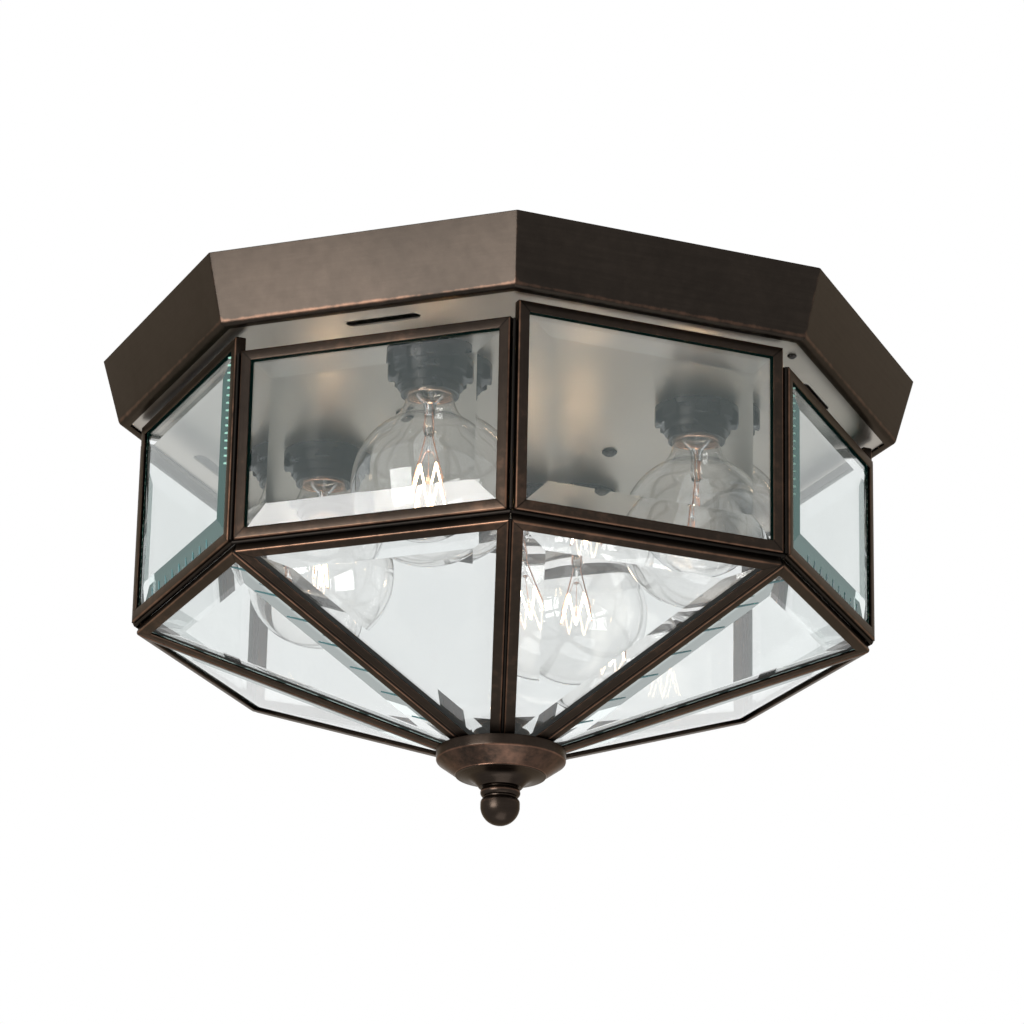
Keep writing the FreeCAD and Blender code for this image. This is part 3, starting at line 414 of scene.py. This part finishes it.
def rounded(corners, steps=5):
    """Outline through corners (x, y, r), each rounded with its radius r."""
    points = []
    count = len(corners)
    for index, (x, y, r) in enumerate(corners):
        here = Vector((x, y))
        if r <= 0:
            points.append((x, y))
            continue
        before = Vector(corners[index - 1][:2]) - here
        after = Vector(corners[(index + 1) % count][:2]) - here
        half = before.angle(after) / 2
        reach = min(r / math.tan(half), 0.49 * before.length, 0.49 * after.length)
        r = reach * math.tan(half)
        middle = (before.normalized() + after.normalized()).normalized()
        centre = here + middle * (r / math.sin(half))
        first = here + before.normalized() * reach - centre
        last = here + after.normalized() * reach - centre
        turn = first.angle_signed(last)
        for step in range(steps + 1):
            angle = -turn * step / steps
            c, s = math.cos(angle), math.sin(angle)
            points.append((centre.x + c * first.x - s * first.y,
                           centre.y + s * first.x + c * first.y))
    return points


def ring_faces(rows):
    """Quads between closed rows of points, with the last row joined to the first."""
    faces = []
    for low, high in zip(rows, rows[1:] + rows[:1]):
        for k in range(len(low)):
            n = (k + 1) % len(low)
            faces.append([low[k], high[k], high[n], low[n]])
    return faces


def lathe(name, profile, material, body, rings, place=(0, 0, 0), closed=False, rub_and_highlight=None,
          **options):
    """Surface of revolution about Z from (radius, height) points. The wear function of a radius
    and height gives the copper wear, which also paints the highlights, and closed joins the last
    point to the first."""
    points, faces, uvs, rub_and_highlight_values, rows = [], [], [], [], []
    length = 0.0
    for index, (r, z) in enumerate(profile):
        if index:
            length += math.dist(profile[index - 1], (r, z))
        wear_and_highlight = rub_and_highlight(r, z) if rub_and_highlight else 0.0
        if r < 1e-6:
            rows.append([len(points)] * rings)
            points.append((0.0, 0.0, z))
            uvs.append((0.0, length * MM))
            rub_and_highlight_values.append(wear_and_highlight)
            continue
        rows.append([])
        for k in range(rings):
            angle = 2 * math.pi * k / rings
            rows[-1].append(len(points))
            points.append((r * math.cos(angle), r * math.sin(angle), z))
            uvs.append((abs(2 * k / rings - 1) * math.pi * r * MM, length * MM))
            rub_and_highlight_values.append(wear_and_highlight)
    pairs = list(zip(rows, rows[1:]))
    if closed:
        pairs.append((rows[-1], rows[0]))
    for low, high in pairs:
        for k in range(rings):
            n = (k + 1) % rings
            face = list(dict.fromkeys([low[k], low[n], high[n], high[k]]))
            if len(face) > 2:
                faces.append(face)
    shift = Matrix.Translation(Vector(place) * MM)
    return piece(name, points, faces, material, body, uvs=uvs, place=shift,
                 layers={"rub_and_highlight": rub_and_highlight_values, "seam": [0.0] * len(points)}, **options)


def sweep_loop(name, corners, section, material, body, wear_and_highlight, place, **options):
    """Mitred closed frame: section points (inset, depth) carried round the outline.
    Corners are a convex outline; local x, y lie in its plane and depth is z. Stations
    are distances from a corner at which the wear and the painted highlight are painted."""
    count = len(corners)
    flats = [Vector(c) for c in corners]
    points, uvs, rub_and_highlight_values, seams, rows = [], [], [], [], []
    stations = [0.0, 0.7, 2.2, 8.0]
    run = 0.0
    previous = None
    for inset, depth in section:
        if previous:
            run += math.dist(previous, (inset, depth))
        previous = (inset, depth)
        moved = []
        for k in range(count):
            here = flats[k]
            before = (here - flats[k - 1]).normalized()
            after = (flats[(k + 1) % count] - here).normalized()
            normal_a = Vector((-before.y, before.x))
            normal_b = Vector((-after.y, after.x))
            bisector = (normal_a + normal_b).normalized()
            moved.append(here + bisector * (inset / bisector.dot(normal_a)))
        row = []
        travelled = 0.0
        for k in range(count):
            start, end = moved[k], moved[(k + 1) % count]
            along = (end - start).normalized()
            length = (end - start).length
            for d in stations + [length / 2] + [length - d for d in stations[:0:-1]]:
                spot = start + along * d
                row.append(len(points))
                points.append((spot.x, spot.y, depth))
                uvs.append(((travelled + d) * MM, run * MM))
                rub_and_highlight_values.append(wear_and_highlight(inset, depth))
                seams.append(max(0.0, 1.0 - min(d, length - d) / stations[1]))
            travelled += length
        rows.append(row)
    return piece(name, points, ring_faces(rows), material, body, uvs=uvs, place=place,
                 layers={"rub_and_highlight": rub_and_highlight_values, "seam": seams}, **options)


def tube(path, radius, sides=8):
    """Points and faces of a round wire along a path."""
    points, faces, row = [], [], []
    path = [Vector(p) for p in path]
    for index, spot in enumerate(path):
        ahead = path[min(index + 1, len(path) - 1)] - path[max(index - 1, 0)]
        ahead.normalize()
        side = ahead.orthogonal().normalized() if index == 0 else \
            (side - ahead * side.dot(ahead)).normalized()
        other = ahead.cross(side)
        here = []
        for k in range(sides):
            angle = 2 * math.pi * k / sides
            here.append(len(points))
            points.append(spot + (side * math.cos(angle) + other * math.sin(angle)) * radius)
        if row:
            for k in range(sides):
                n = (k + 1) % sides
                faces.append([row[k], here[k], here[n], row[n]])
        else:
            faces.append(here[::-1])
        row = here
    faces.append(row)
    return points, faces


def arc(centre, radius, first, last, steps):
    """Points on an arc, from the first angle to the last."""
    points = []
    for step in range(steps + 1):
        angle = math.radians(first + (last - first) * step / steps)
        points.append((centre[0] + radius * math.cos(angle), centre[1] + radius * math.sin(angle)))
    return points


def box_outline(half, low, high):
    """Rectangle as wide as twice half, from low to high."""
    return [(-half, low), (half, low), (half, high), (-half, high)]


def polar(radius, angle, height=0.0):
    """Point at a radius, an angle about Z and a height."""
    turn = math.radians(angle)
    return Vector((radius * math.cos(turn), radius * math.sin(turn), height))


def basis(x, y, z, origin):
    """Place with these axes and this origin in millimetres."""
    turn = Matrix((x, y, z)).transposed().to_4x4()
    return Matrix.Translation(origin * MM) @ turn


# ---------------------------------------------------------------- pan

def make_pan():
    """Folded sheet pan with softened corners and a rolled foot."""
    flat = math.cos(HALF_TURN)
    top, foot, lip, base, sheet = 220 * flat, 209.5 * flat, 203.5 * flat, -37.0, 1.0
    # The second point only keeps the foot's wear and painted highlight off the wall above it.
    profile = rounded([
        (top, 0.0, 0.3), (top + (foot - top) * 0.86, -31.82, 0.0), (foot, base, 3.0),
        (lip, base, 0.35), (lip, base + sheet, 0.35), (foot - sheet, base + sheet, 2.0),
        (top - sheet, 0.0, 0.3)], 6)
    points, uvs, rub_and_highlight_values, rows = [], [], [], []
    fan = 5
    stations = [0.0, 1.5, 5.0, 14.0, 40.0]
    run = 0.0
    for index, (inradius, z) in enumerate(profile):
        if index:
            run += math.dist(profile[index - 1], (inradius, z))
        # Radius of the upright folds, smaller inside the sheet.
        curve = max(0.4, 1.5 - (top - inradius if z > -35 else 0) * 0.02)
        if index > len(profile) // 2:
            curve = 0.6
        half = inradius * math.tan(HALF_TURN) - curve * math.tan(HALF_TURN)
        # Copper wear on the foot and the upright folds, which also paints the highlights there.
        foot_wear_and_highlight = 0.6 * max(0.0, 1.0 - abs(z + 35.0) / 2.6)
        row = []
        travelled = 0.0
        for side in range(SIDES):
            angle = FIRST_SIDE + SIDE_TURN * side
            normal, along = polar(1, angle), polar(1, angle + 90)
            for d in [-half + d for d in stations] + [0.0] + [half - d for d in stations[::-1]]:
                edge = half - abs(d)
                spot = normal * inradius + along * d
                row.append(len(points))
                points.append((spot.x, spot.y, z))
                uvs.append(((travelled + d + half) * MM, run * MM))
                rub_and_highlight_values.append(max(foot_wear_and_highlight, 0.3 * max(0.0, 1 - edge / 2.0)))
            travelled += 2 * half
            centre = normal * (inradius - curve) + along * half
            for step in range(1, fan):
                spot = centre + polar(curve, angle + SIDE_TURN * step / fan)
                row.append(len(points))
                points.append((spot.x, spot.y, z))
                uvs.append((travelled * MM, run * MM))
                rub_and_highlight_values.append(max(foot_wear_and_highlight, 0.4))
        rows.append(row)
    piece("pan", points, ring_faces(rows), "bronze", "canopy", replaced=["canopy_shell"],
          slot="bronze", layers={"rub_and_highlight": rub_and_highlight_values, "seam": [0.0] * len(points)}, uvs=uvs)


make_pan()


# ---------------------------------------------------------------- cage

# Channel section, upright frames, and frames on the slope below them. LEAN is the
# sideways lean of a sloping frame's sides, and MITRE the angle of its joint.
FACE, DEPTH, WALL = 5.7, 6.0, 0.7
JOINT_GAP = 0.05
CAGE_CORNER = 198.3
CAGE_FLAT = CAGE_CORNER * math.cos(HALF_TURN)
UPPER_FOOT = -148.9
SHORT_FRAME, TALL_FRAME = 101.4, 110.4
RELIEF = DEPTH * math.tan(HALF_TURN) + JOINT_GAP
UPPER_WIDTH = 2 * CAGE_CORNER * math.sin(HALF_TURN) - 2 * RELIEF
SLOPE = math.radians(21.8)
LOWER_FLAT = CAGE_FLAT - 2.9
LOWER_TOP = UPPER_FOOT - DEPTH * math.cos(SLOPE) - 0.1
HUB_FLAT = 20.5
LOWER_LENGTH = (LOWER_FLAT - HUB_FLAT) / math.cos(SLOPE)
LEAN = math.atan(math.tan(HALF_TURN) * math.cos(SLOPE))
MITRE = math.asin(math.sin(HALF_TURN) * math.sin(SLOPE))
LOWER_RELIEF = (DEPTH * math.tan(MITRE) + JOINT_GAP) / math.cos(LEAN)
HALF_TOP = LOWER_FLAT * math.tan(HALF_TURN) - LOWER_RELIEF
HALF_END = HUB_FLAT * math.tan(HALF_TURN) - LOWER_RELIEF

CHANNEL = rounded([
    (0.0, 0.0, 0.95), (0.0, DEPTH, 0.8), (FACE, DEPTH, 0.3), (FACE, DEPTH - WALL, 0.2),
    (WALL, DEPTH - WALL, 0.0), (WALL, WALL, 0.0), (FACE, WALL, 0.2), (FACE, 0.0, 0.35)], 4)


def channel_wear_and_highlight(inset, depth):
    """Rubbed to copper on the outer corners and on the lip of the channel, a copper that also
    paints the highlights there.
    """
    corner = max(0.0, 1.0 - math.hypot(inset - 0.2, depth - 0.2) / 1.3)
    lip = max(0.0, 1.0 - math.hypot(inset - FACE, depth) / 0.9)
    return max(0.85 * corner, 0.6 * lip)


def side_axes(number):
    """Outward direction of side 1 to 8, clockwise from above, and the one along it."""
    angle = FIRST_SIDE - SIDE_TURN * (number - 1)
    return polar(1, angle), polar(1, angle + 90)


def upper_height(number):
    """Odd upper frames are the short ones."""
    return SHORT_FRAME if number % 2 else TALL_FRAME


def upper_place(number, sign=1):
    """Place on an upper side: x along it, y up, z inward. Sign -1 turns x round."""
    outward, along = side_axes(number)
    origin = outward * CAGE_FLAT + Vector((0, 0, UPPER_FOOT))
    return basis(along * sign, UP, -outward, origin)


def lower_place(number):
    """Place on a lower side: x along it, y down the slope, z inward."""
    outward, along = side_axes(number)
    down = outward * -math.cos(SLOPE) - UP * math.sin(SLOPE)
    inward = UP * math.cos(SLOPE) - outward * math.sin(SLOPE)
    return basis(along, down, inward, outward * LOWER_FLAT + Vector((0, 0, LOWER_TOP)))


def make_frames():
    """Mitred channel frames, eight upright and eight on the slope."""
    for number in range(1, SIDES + 1):
        sweep_loop("upper_channel_%d" % number,
                   box_outline(UPPER_WIDTH / 2, 0, upper_height(number)), CHANNEL,
                   "frame_bronze", "cage", channel_wear_and_highlight, upper_place(number),
                   replaced=["upper_frame_%d" % number])
        sweep_loop("lower_channel_%d" % number,
                   [(-HALF_TOP, 0), (HALF_TOP, 0), (HALF_END, LOWER_LENGTH),
                    (-HALF_END, LOWER_LENGTH)], CHANNEL,
                   "frame_bronze", "cage", channel_wear_and_highlight, lower_place(number),
                   replaced=["lower_frame_%d" % number])


make_frames()


def make_hub():
    """Spun cap and turned ball finial."""
    cap_top, finial_top = -214.52, -234.62
    outer = rounded([
        (33.2, 0.0, 0.0), (34.2, 0.0, 0.35), (34.2, -5.9, 1.5), (24.1, -13.1, 0.5),
        (23.9, -13.9, 0.4), (22.9, -13.95, 0.3), (15.2, -15.6, 11.0), (11.35, -20.0, 0.3),
        (5.3, -20.0, 0.0), (5.3, -19.0, 0.0), (10.8, -19.0, 0.8), (14.6, -14.8, 10.0),
        (22.4, -12.9, 0.8), (33.2, -5.3, 0.5)], 8)

    # Copper wear on the rim and the ridge, which also paints the highlight rings there.
    def cap_wear_and_highlight(r, z):
        rim = max(0.0, 1 - abs(z + 5.9) / 1.1) if r > 32.5 else 0.0
        ridge = max(0.0, 1 - math.hypot(r - 24.1, z + 13.3) / 1.1)
        return 0.9 * max(rim, ridge)

    lathe("cap_spun", outer, "hub_bronze", "cage", 160, (0, 0, cap_top), closed=True,
          rub_and_highlight=cap_wear_and_highlight, replaced=["hub_cap"])
    profile = [(5.01, -13.0), (5.01, -0.15), (5.2, 0.0), (9.2, 0.0)]
    profile += arc((8.0, -2.7), 2.55, 62, -72, 14)
    profile += [(8.72, -5.4), (8.70, -5.9)]
    profile += arc((7.2, -8.4), 3.2, 56, 0, 8)
    profile += arc((0.0, -9.83), 10.44, -6.6, -90, 30)[:-1] + [(0.0, -20.27)]

    # Copper wear on the collar and round the ball, which also paints highlights there.
    def finial_wear_and_highlight(r, z):
        if z > -5.3:
            return 0.75 * max(0.0, 1 - abs(z + 2.6) / 1.5)
        return 0.55 * max(0.0, 1 - abs(z + 8.6) / 2.6)

    lathe("finial_ball", profile, "hub_bronze", "finial", 128, (0, 0, finial_top),
          rub_and_highlight=finial_wear_and_highlight, replaced=["finial"])


make_hub()


def solder(name, start, finish, radius):
    """Straight bead of dark solder."""
    points, faces = tube([start, (start + finish) / 2, finish], radius, 10)
    piece(name, points, faces, "solder", "cage", slot="frame_bronze")


def make_seams():
    """Dark solder in the joints between the frames."""
    corner = 1 / math.cos(HALF_TURN)
    post = (CAGE_FLAT - 1.55) * corner
    ring = (CAGE_FLAT - 2.6) * corner
    post_foot, post_top, level = -148.5, -48.5, -149.6
    rib_top, rib_end = (LOWER_FLAT - 0.9) * corner, (HUB_FLAT + 1.0) * corner
    rib_drop = (LOWER_FLAT - HUB_FLAT - 1.0) * math.tan(SLOPE)
    for number in range(SIDES):
        angle = FIRST_CORNER + SIDE_TURN * number
        after = FIRST_CORNER + SIDE_TURN * (number + 1)
        solder("solder_post_%d" % number, polar(post, angle, post_foot),
               polar(post, angle, post_top), 0.8)
        solder("solder_rib_%d" % number, polar(rib_top, angle, LOWER_TOP + 0.85),
               polar(rib_end, angle, LOWER_TOP - rib_drop + 1.35), 0.75)
        solder("solder_ring_%d" % number, polar(ring, angle, level),
               polar(ring, after, level), 1.0)


# ---------------------------------------------------------------- panes

def flat_piece(name, points, faces, materials, indices, body, place, replaced, uvs):
    """Sharp-edged mesh with a material for each face."""
    mesh = bpy.data.meshes.new(name)
    mesh.from_pydata([place @ (Vector(p) * MM) for p in points], [], faces)
    for material in materials:
        mesh.materials.append(MATERIALS[material])
    for polygon, index in zip(mesh.polygons, indices):
        polygon.material_index = index
        polygon.use_smooth = False
    layer = mesh.uv_layers.new(name="UVMap")
    for loop in mesh.loops:
        layer.data[loop.index].uv = uvs[loop.vertex_index]
    obj = bpy.data.objects.new(name, mesh)
    scene.collection.objects.link(obj)
    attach(obj, body)
    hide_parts(*replaced)
    return obj


# Gap to the frame's outline, start of the flat field, depth of the back, rim, thickness.
PANE_MARGIN, PANE_FLAT, PANE_BACK, PANE_EDGE, PANE_THICK = 2.2, 17.2, 5.0, 2.2, 4.8
BEVEL_SLOPE = 0.1733


def make_pane(name, rim, flat, place, replaced, glass, edge):
    """Bevelled pane: rim and flat are outlines seen from outside, back is inside."""
    points = [(x, y, PANE_BACK) for x, y in rim]
    points += [(x, y, PANE_BACK - PANE_EDGE) for x, y in rim]
    points += [(x, y, PANE_BACK - PANE_THICK) for x, y in flat]
    faces, indices = [[0, 1, 2, 3], [11, 10, 9, 8]], [0, 0]
    for k in range(4):
        n = (k + 1) % 4
        faces += [[k, k + 4, n + 4, n], [k + 4, k + 8, n + 8, n + 4]]
        indices += [1, 0]
    uvs = [(x * MM, y * MM) for x, y, z in points]
    flat_piece(name, points, faces, [glass, edge], indices, "cage", place,
               [replaced], uvs)


def lower_half(y, margin):
    """Half width of a lower pane, margin inside its frame, at y down the slope."""
    return HALF_TOP - y * math.tan(LEAN) - margin / math.cos(LEAN)


def make_panes():
    """Eight upright panes and eight that run to a point on the slope."""
    half = UPPER_WIDTH / 2
    point = (HALF_TOP - PANE_FLAT / math.cos(LEAN) - 0.5) / math.tan(LEAN)
    top, end = PANE_MARGIN, LOWER_LENGTH - PANE_MARGIN
    top_half, end_half = lower_half(top, PANE_MARGIN), lower_half(end, PANE_MARGIN)
    rim = [(-top_half, top), (top_half, top), (end_half, end), (-end_half, end)]
    wide = lower_half(PANE_FLAT, PANE_FLAT)
    flat = [(-wide, PANE_FLAT), (wide, PANE_FLAT), (0.5, point), (-0.5, point)]
    for number in range(1, SIDES + 1):
        height = upper_height(number)
        make_pane("upper_pane_%d" % number,
                  box_outline(half - PANE_MARGIN, PANE_MARGIN, height - PANE_MARGIN),
                  box_outline(half - PANE_FLAT, PANE_FLAT, height - PANE_FLAT),
                  upper_place(number, -1), "upper_glass_%d" % number, "pane_glass", "edge_upper")
        make_pane("lower_pane_%d" % number, rim, flat, lower_place(number),
                  "lower_glass_%d" % number, "pane_below", "edge_lower")


def bars(name, marks, material, place):
    """Short raised marks, each from one spot to another with a half width."""
    points, faces = [], []
    for (x0, y0, z0), (x1, y1, z1), half in marks:
        length = math.hypot(x1 - x0, y1 - y0)
        px, py = -(y1 - y0) / length * half, (x1 - x0) / length * half
        base = len(points)
        for dz in (-0.12, 0.15):
            points += [(x0 - px, y0 - py, z0 + dz), (x0 + px, y0 + py, z0 + dz),
                       (x1 + px * 0.5, y1 + py * 0.5, z1 + dz),
                       (x1 - px * 0.5, y1 - py * 0.5, z1 + dz)]
        faces += [[base + i for i in f] for f in (
            (0, 1, 2, 3), (7, 6, 5, 4), (0, 4, 5, 1), (1, 5, 6, 2), (2, 6, 7, 3), (3, 7, 4, 0))]
    piece(name, points, faces, material, "cage", place=place, slot="pane_glass")


def on_bevel(x, y, inset):
    """Point on the bevel's surface, inset from the frame's outline."""
    return x, y, PANE_BACK - PANE_EDGE - BEVEL_SLOPE * (inset - PANE_MARGIN)


def make_reflection_marks():
    """Teal marks along the bevels of the two side panes that the photo shows."""
    # Painted reflections: these marks stand for the inner reflections of the ground edges, on the
    # two side panes only.
    for number, side in ((2, 1), (7, -1)):
        marks = []
        for step in range(7):
            ends = []
            for run in (0.0, 15.5 - 0.7 * step):
                deep = 6.0 + run * math.sin(math.radians(45))
                y = 16.0 + 21.7 * step - run * math.cos(math.radians(24))
                ends.append(on_bevel(side * lower_half(y, deep), y, deep))
            marks.append((ends[0], ends[1], 1.1))
        bars("reflection_marks_lower_%d" % number, marks, "reflection_dark", lower_place(number))
        place = upper_place(number, -1)
        edge = -side * UPPER_WIDTH / 2
        near, far = 6.4, 12.5
        marks = []
        for step in range(15):
            y = upper_height(number) - 9.0 - 4.1 * step
            marks.append((on_bevel(edge + side * near, y, near),
                          on_bevel(edge + side * far, y + 1.8, far), 0.8))
        bars("reflection_marks_post_%d" % number, marks, "reflection_light", place)
        near, far = 6.4, 11.5
        marks = []
        for step in range(9):
            x = edge + side * (36.0 + 10.5 * step)
            marks.append((on_bevel(x, near, near), on_bevel(x - side * 1.5, far, far), 1.4))
        bars("reflection_marks_foot_%d" % number, marks, "reflection_dark", place)


make_panes()
make_reflection_marks()


# ---------------------------------------------------------------- lamps

LAMP_RADIUS = 107.0
BULB_CENTRE = -103.3
BULB_WALL = 0.55


def bulb_outline(gap):
    """Globe, cove and neck, drawn in by a gap, from the bottom to the neck's top."""
    radius, neck, cove, top = 39.7, 12.5, 19.0, 53.3
    globe_steps, cove_steps = 48, 16
    reach = radius + cove
    axis = neck + cove
    rise = math.sqrt(reach * reach - axis * axis)
    meet = math.atan2(rise, axis)
    points = []
    for step in range(globe_steps + 1):
        angle = -math.pi / 2 + (meet + math.pi / 2) * step / globe_steps
        points.append(((radius - gap) * math.cos(angle) if step else 0.0,
                       (radius - gap) * math.sin(angle)))
    for step in range(1, cove_steps + 1):
        angle = math.pi + meet - meet * step / cove_steps
        points.append((axis + (cove + gap) * math.cos(angle),
                       rise + (cove + gap) * math.sin(angle)))
    points.append((neck - gap, top - gap))
    return points


def make_lamp(number):
    """Lit globe lamp: glass, stem, neck liner, support wires and M-shaped coil. Heights
    are from the centre of the globe."""
    angle = FIRST_SIDE + 90 * (number - 1)
    centre = polar(LAMP_RADIUS, angle, BULB_CENTRE)
    place = Matrix.Translation(centre * MM) @ Matrix.Rotation(math.radians(angle + 90), 4, "Z")
    body = "bulb_%d" % number
    lathe("globe_%d" % number, bulb_outline(0.0) + bulb_outline(BULB_WALL)[::-1], "bulb_glass",
          body, 128, centre, replaced=["bulb_glass_%d" % number], slot="bulb_glass", sharp=80)
    stem = rounded([
        (0.0, 27.0, 0.0), (2.3, 27.2, 1.0), (3.3, 31.0, 1.5), (2.6, 38.0, 3.0), (3.4, 44.0, 3.0),
        (8.5, 50.0, 3.0), (11.6, 51.6, 0.3), (11.4, 52.3, 0.2), (7.8, 51.0, 2.0), (2.4, 44.2, 2.0),
        (1.4, 39.0, 1.0), (0.0, 38.6, 0.0)], 5)
    lathe("stem_%d" % number, stem, "bulb_glass", body, 48, centre, slot="bulb_glass", sharp=80)
    button = [(1.9 * math.sin(math.pi * t / 9), 17.5 + 1.6 * (1 - math.cos(math.pi * t / 9)))
              for t in range(1, 8)]
    rod = [(0.0, 17.5)] + button + [(0.75, 21.6), (0.75, 26.9), (0.0, 26.9)]
    lathe("stem_rod_%d" % number, rod, "bulb_glass", body, 24, centre, slot="bulb_glass", sharp=80)
    liner = rounded([(11.3, 48.0, 0.2), (11.75, 48.0, 0.2), (11.75, 52.0, 0.2),
                     (11.3, 52.0, 0.2)], 3)
    lathe("neck_liner_%d" % number, liner, "copper", body, 48, centre, closed=True,
          slot="bulb_base")
    wires = []
    hooks = [(-8.8, 0.0, -4.0), (8.8, 0.0, -4.0)]
    for side, hook in zip((-1, 1), hooks):
        wires.append(tube([(side * 1.3, 0, 44), (side * 1.8, 0, 33), (side * 2.2, 0, 26),
                           (side * 5.0, 0, 15), (side * 8.2, 0, 4), hook,
                           (hook[0] + side * 0.8, hook[1], -4.8)], 0.38))
    tips = [(-4.4, 0.0, 12.1), (4.4, 0.0, 12.1), (0.0, 0.0, -6.0)]
    for tip in tips:
        knee = (tip[0] * 0.5, 0.3, 18.0 if tip[2] > 0 else 8.0)
        wires.append(tube([(0, 0, 19.2), knee, tip], 0.16, 6))
    points, faces = [], []
    for wire_points, wire_faces in wires:
        faces += [[len(points) + i for i in face] for face in wire_faces]
        points += wire_points
    piece("supports_%d" % number, points, faces, "filament", body, place=place,
          replaced=["bulb_filament_%d" % number], slot="filament")
    corners = [Vector(p) for p in (hooks[0], tips[0], tips[2], tips[1], hooks[1])]
    path = []
    for start, end in zip(corners, corners[1:]):
        for k in range(26):
            sag = Vector((0, 0, -0.9)) * math.sin(math.pi * (k / 26))
            path.append(start + (end - start) * (k / 26) + sag)
    path.append(corners[-1])
    points, faces = tube(path, 0.55)
    piece("coil_%d" % number, points, faces, "coil", body, place=place, slot="filament")


for lamp in range(1, 5):
    make_lamp(lamp)
make_seams()


# ---------------------------------------------------------------- studio

def seen_directly(n):
    """1 on rays from the camera or by way of a mirror or glass, and 0 on the others."""
    path = n.add("ShaderNodeLightPath")
    return n.math("MAXIMUM", path.outputs["Is Camera Ray"],
                  n.math("MAXIMUM", path.outputs["Is Glossy Ray"],
                         path.outputs["Is Transmission Ray"]))


def blend(n, factor, first, second):
    """Mix of two shaders on the material's output."""
    both = n.add("ShaderNodeMixShader")
    n.link(factor, both.inputs[0])
    n.link(first.outputs[0], both.inputs[1])
    n.link(second.outputs[0], both.inputs[2])
    n.link(both.outputs[0], n.output.inputs["Surface"])


def flat_face(name, points, order, material):
    """Object of one flat face, in metres."""
    mesh = bpy.data.meshes.new(name)
    mesh.from_pydata(points, [], [order])
    mesh.materials.append(material)
    face = bpy.data.objects.new(name, mesh)
    scene.collection.objects.link(face)
    return face


def make_floor():
    """Pale floor far below, brighter to the camera and in glass than to the lantern."""
    n = Nodes("floor_pale")
    mottle = n.noise(n.place(), scale=3.0, rough=0.5)
    shader = n.surface(Roughness=0.8)
    n.link(n.ramp(mottle, (0.3, 0.80), (0.7, 0.83)), shader.inputs["Base Color"])
    white = n.add("ShaderNodeEmission", in_Color=(1, 1, 1, 1), in_Strength=1.0)
    blend(n, n.math("MULTIPLY", seen_directly(n), 0.9), shader, white)
    reach, depth = 9, -2.75
    corners = [(x, y, depth) for x, y in box_outline(reach, -reach, reach)]
    floor = flat_face("floor", corners, [0, 1, 2, 3], n.owner)


def make_surround():
    """White surround, at half strength as a light on the lantern."""
    n = Nodes("surround", world=True)
    scene.world = n.owner
    level = n.add("ShaderNodeMapRange", in_To_Min=0.5, in_To_Max=1.0)
    n.link(seen_directly(n), level.inputs["Value"])
    back = n.add("ShaderNodeBackground", in_Color=(1.0, 1.0, 1.0, 1.0))
    n.link(level.outputs[0], back.inputs["Strength"])
    n.link(back.outputs[0], n.output.inputs["Surface"])


def make_ceiling_patch():
    """The bit of ceiling inside the pan, seen only from below through the vents."""
    n = Nodes("ceiling_patch")
    shader = n.surface(Roughness=0.9)
    n.link(n.ramp(n.noise(n.place(), scale=20.0), (0.3, 0.55), (0.7, 0.62)),
           shader.inputs["Base Color"])
    path = n.add("ShaderNodeLightPath")
    side = n.add("ShaderNodeNewGeometry")
    hidden = n.math("MAXIMUM", side.outputs["Backfacing"],
                    n.math("MAXIMUM", path.outputs["Is Shadow Ray"],
                           path.outputs["Is Diffuse Ray"]))
    blend(n, hidden, shader, n.add("ShaderNodeBsdfTransparent"))
    rim = [polar(214.0, FIRST_CORNER + SIDE_TURN * k, 0.6) * MM for k in range(SIDES)]
    patch = flat_face("ceiling_patch", rim, list(range(SIDES))[::-1], n.owner)


def soft_light(name, spot, width, height, power, colour=(1, 1, 1)):
    """Rectangular lamp in metres and watts, aimed at the middle of the lantern."""
    data = bpy.data.lights.new(name, "AREA")
    data.shape = "RECTANGLE"
    data.size = width
    data.size_y = height
    data.energy = power
    data.color = colour
    light = bpy.data.objects.new(name, data)
    scene.collection.objects.link(light)
    spot = Vector(spot)
    aim = (Vector((0, 0, -0.1)) - spot).to_track_quat("-Z", "Y")
    light.matrix_world = Matrix.Translation(spot) @ aim.to_matrix().to_4x4()


make_floor()
make_surround()
make_ceiling_patch()
soft_light("key", (-1.45, -1.75, -0.30), width=1.3, height=1.1, power=70.0,
           colour=(1.0, 0.985, 0.97))
soft_light("under", (0.2, -0.5, -2.2), width=1.6, height=1.6, power=16.0)

scene.view_settings.view_transform = "Standard"
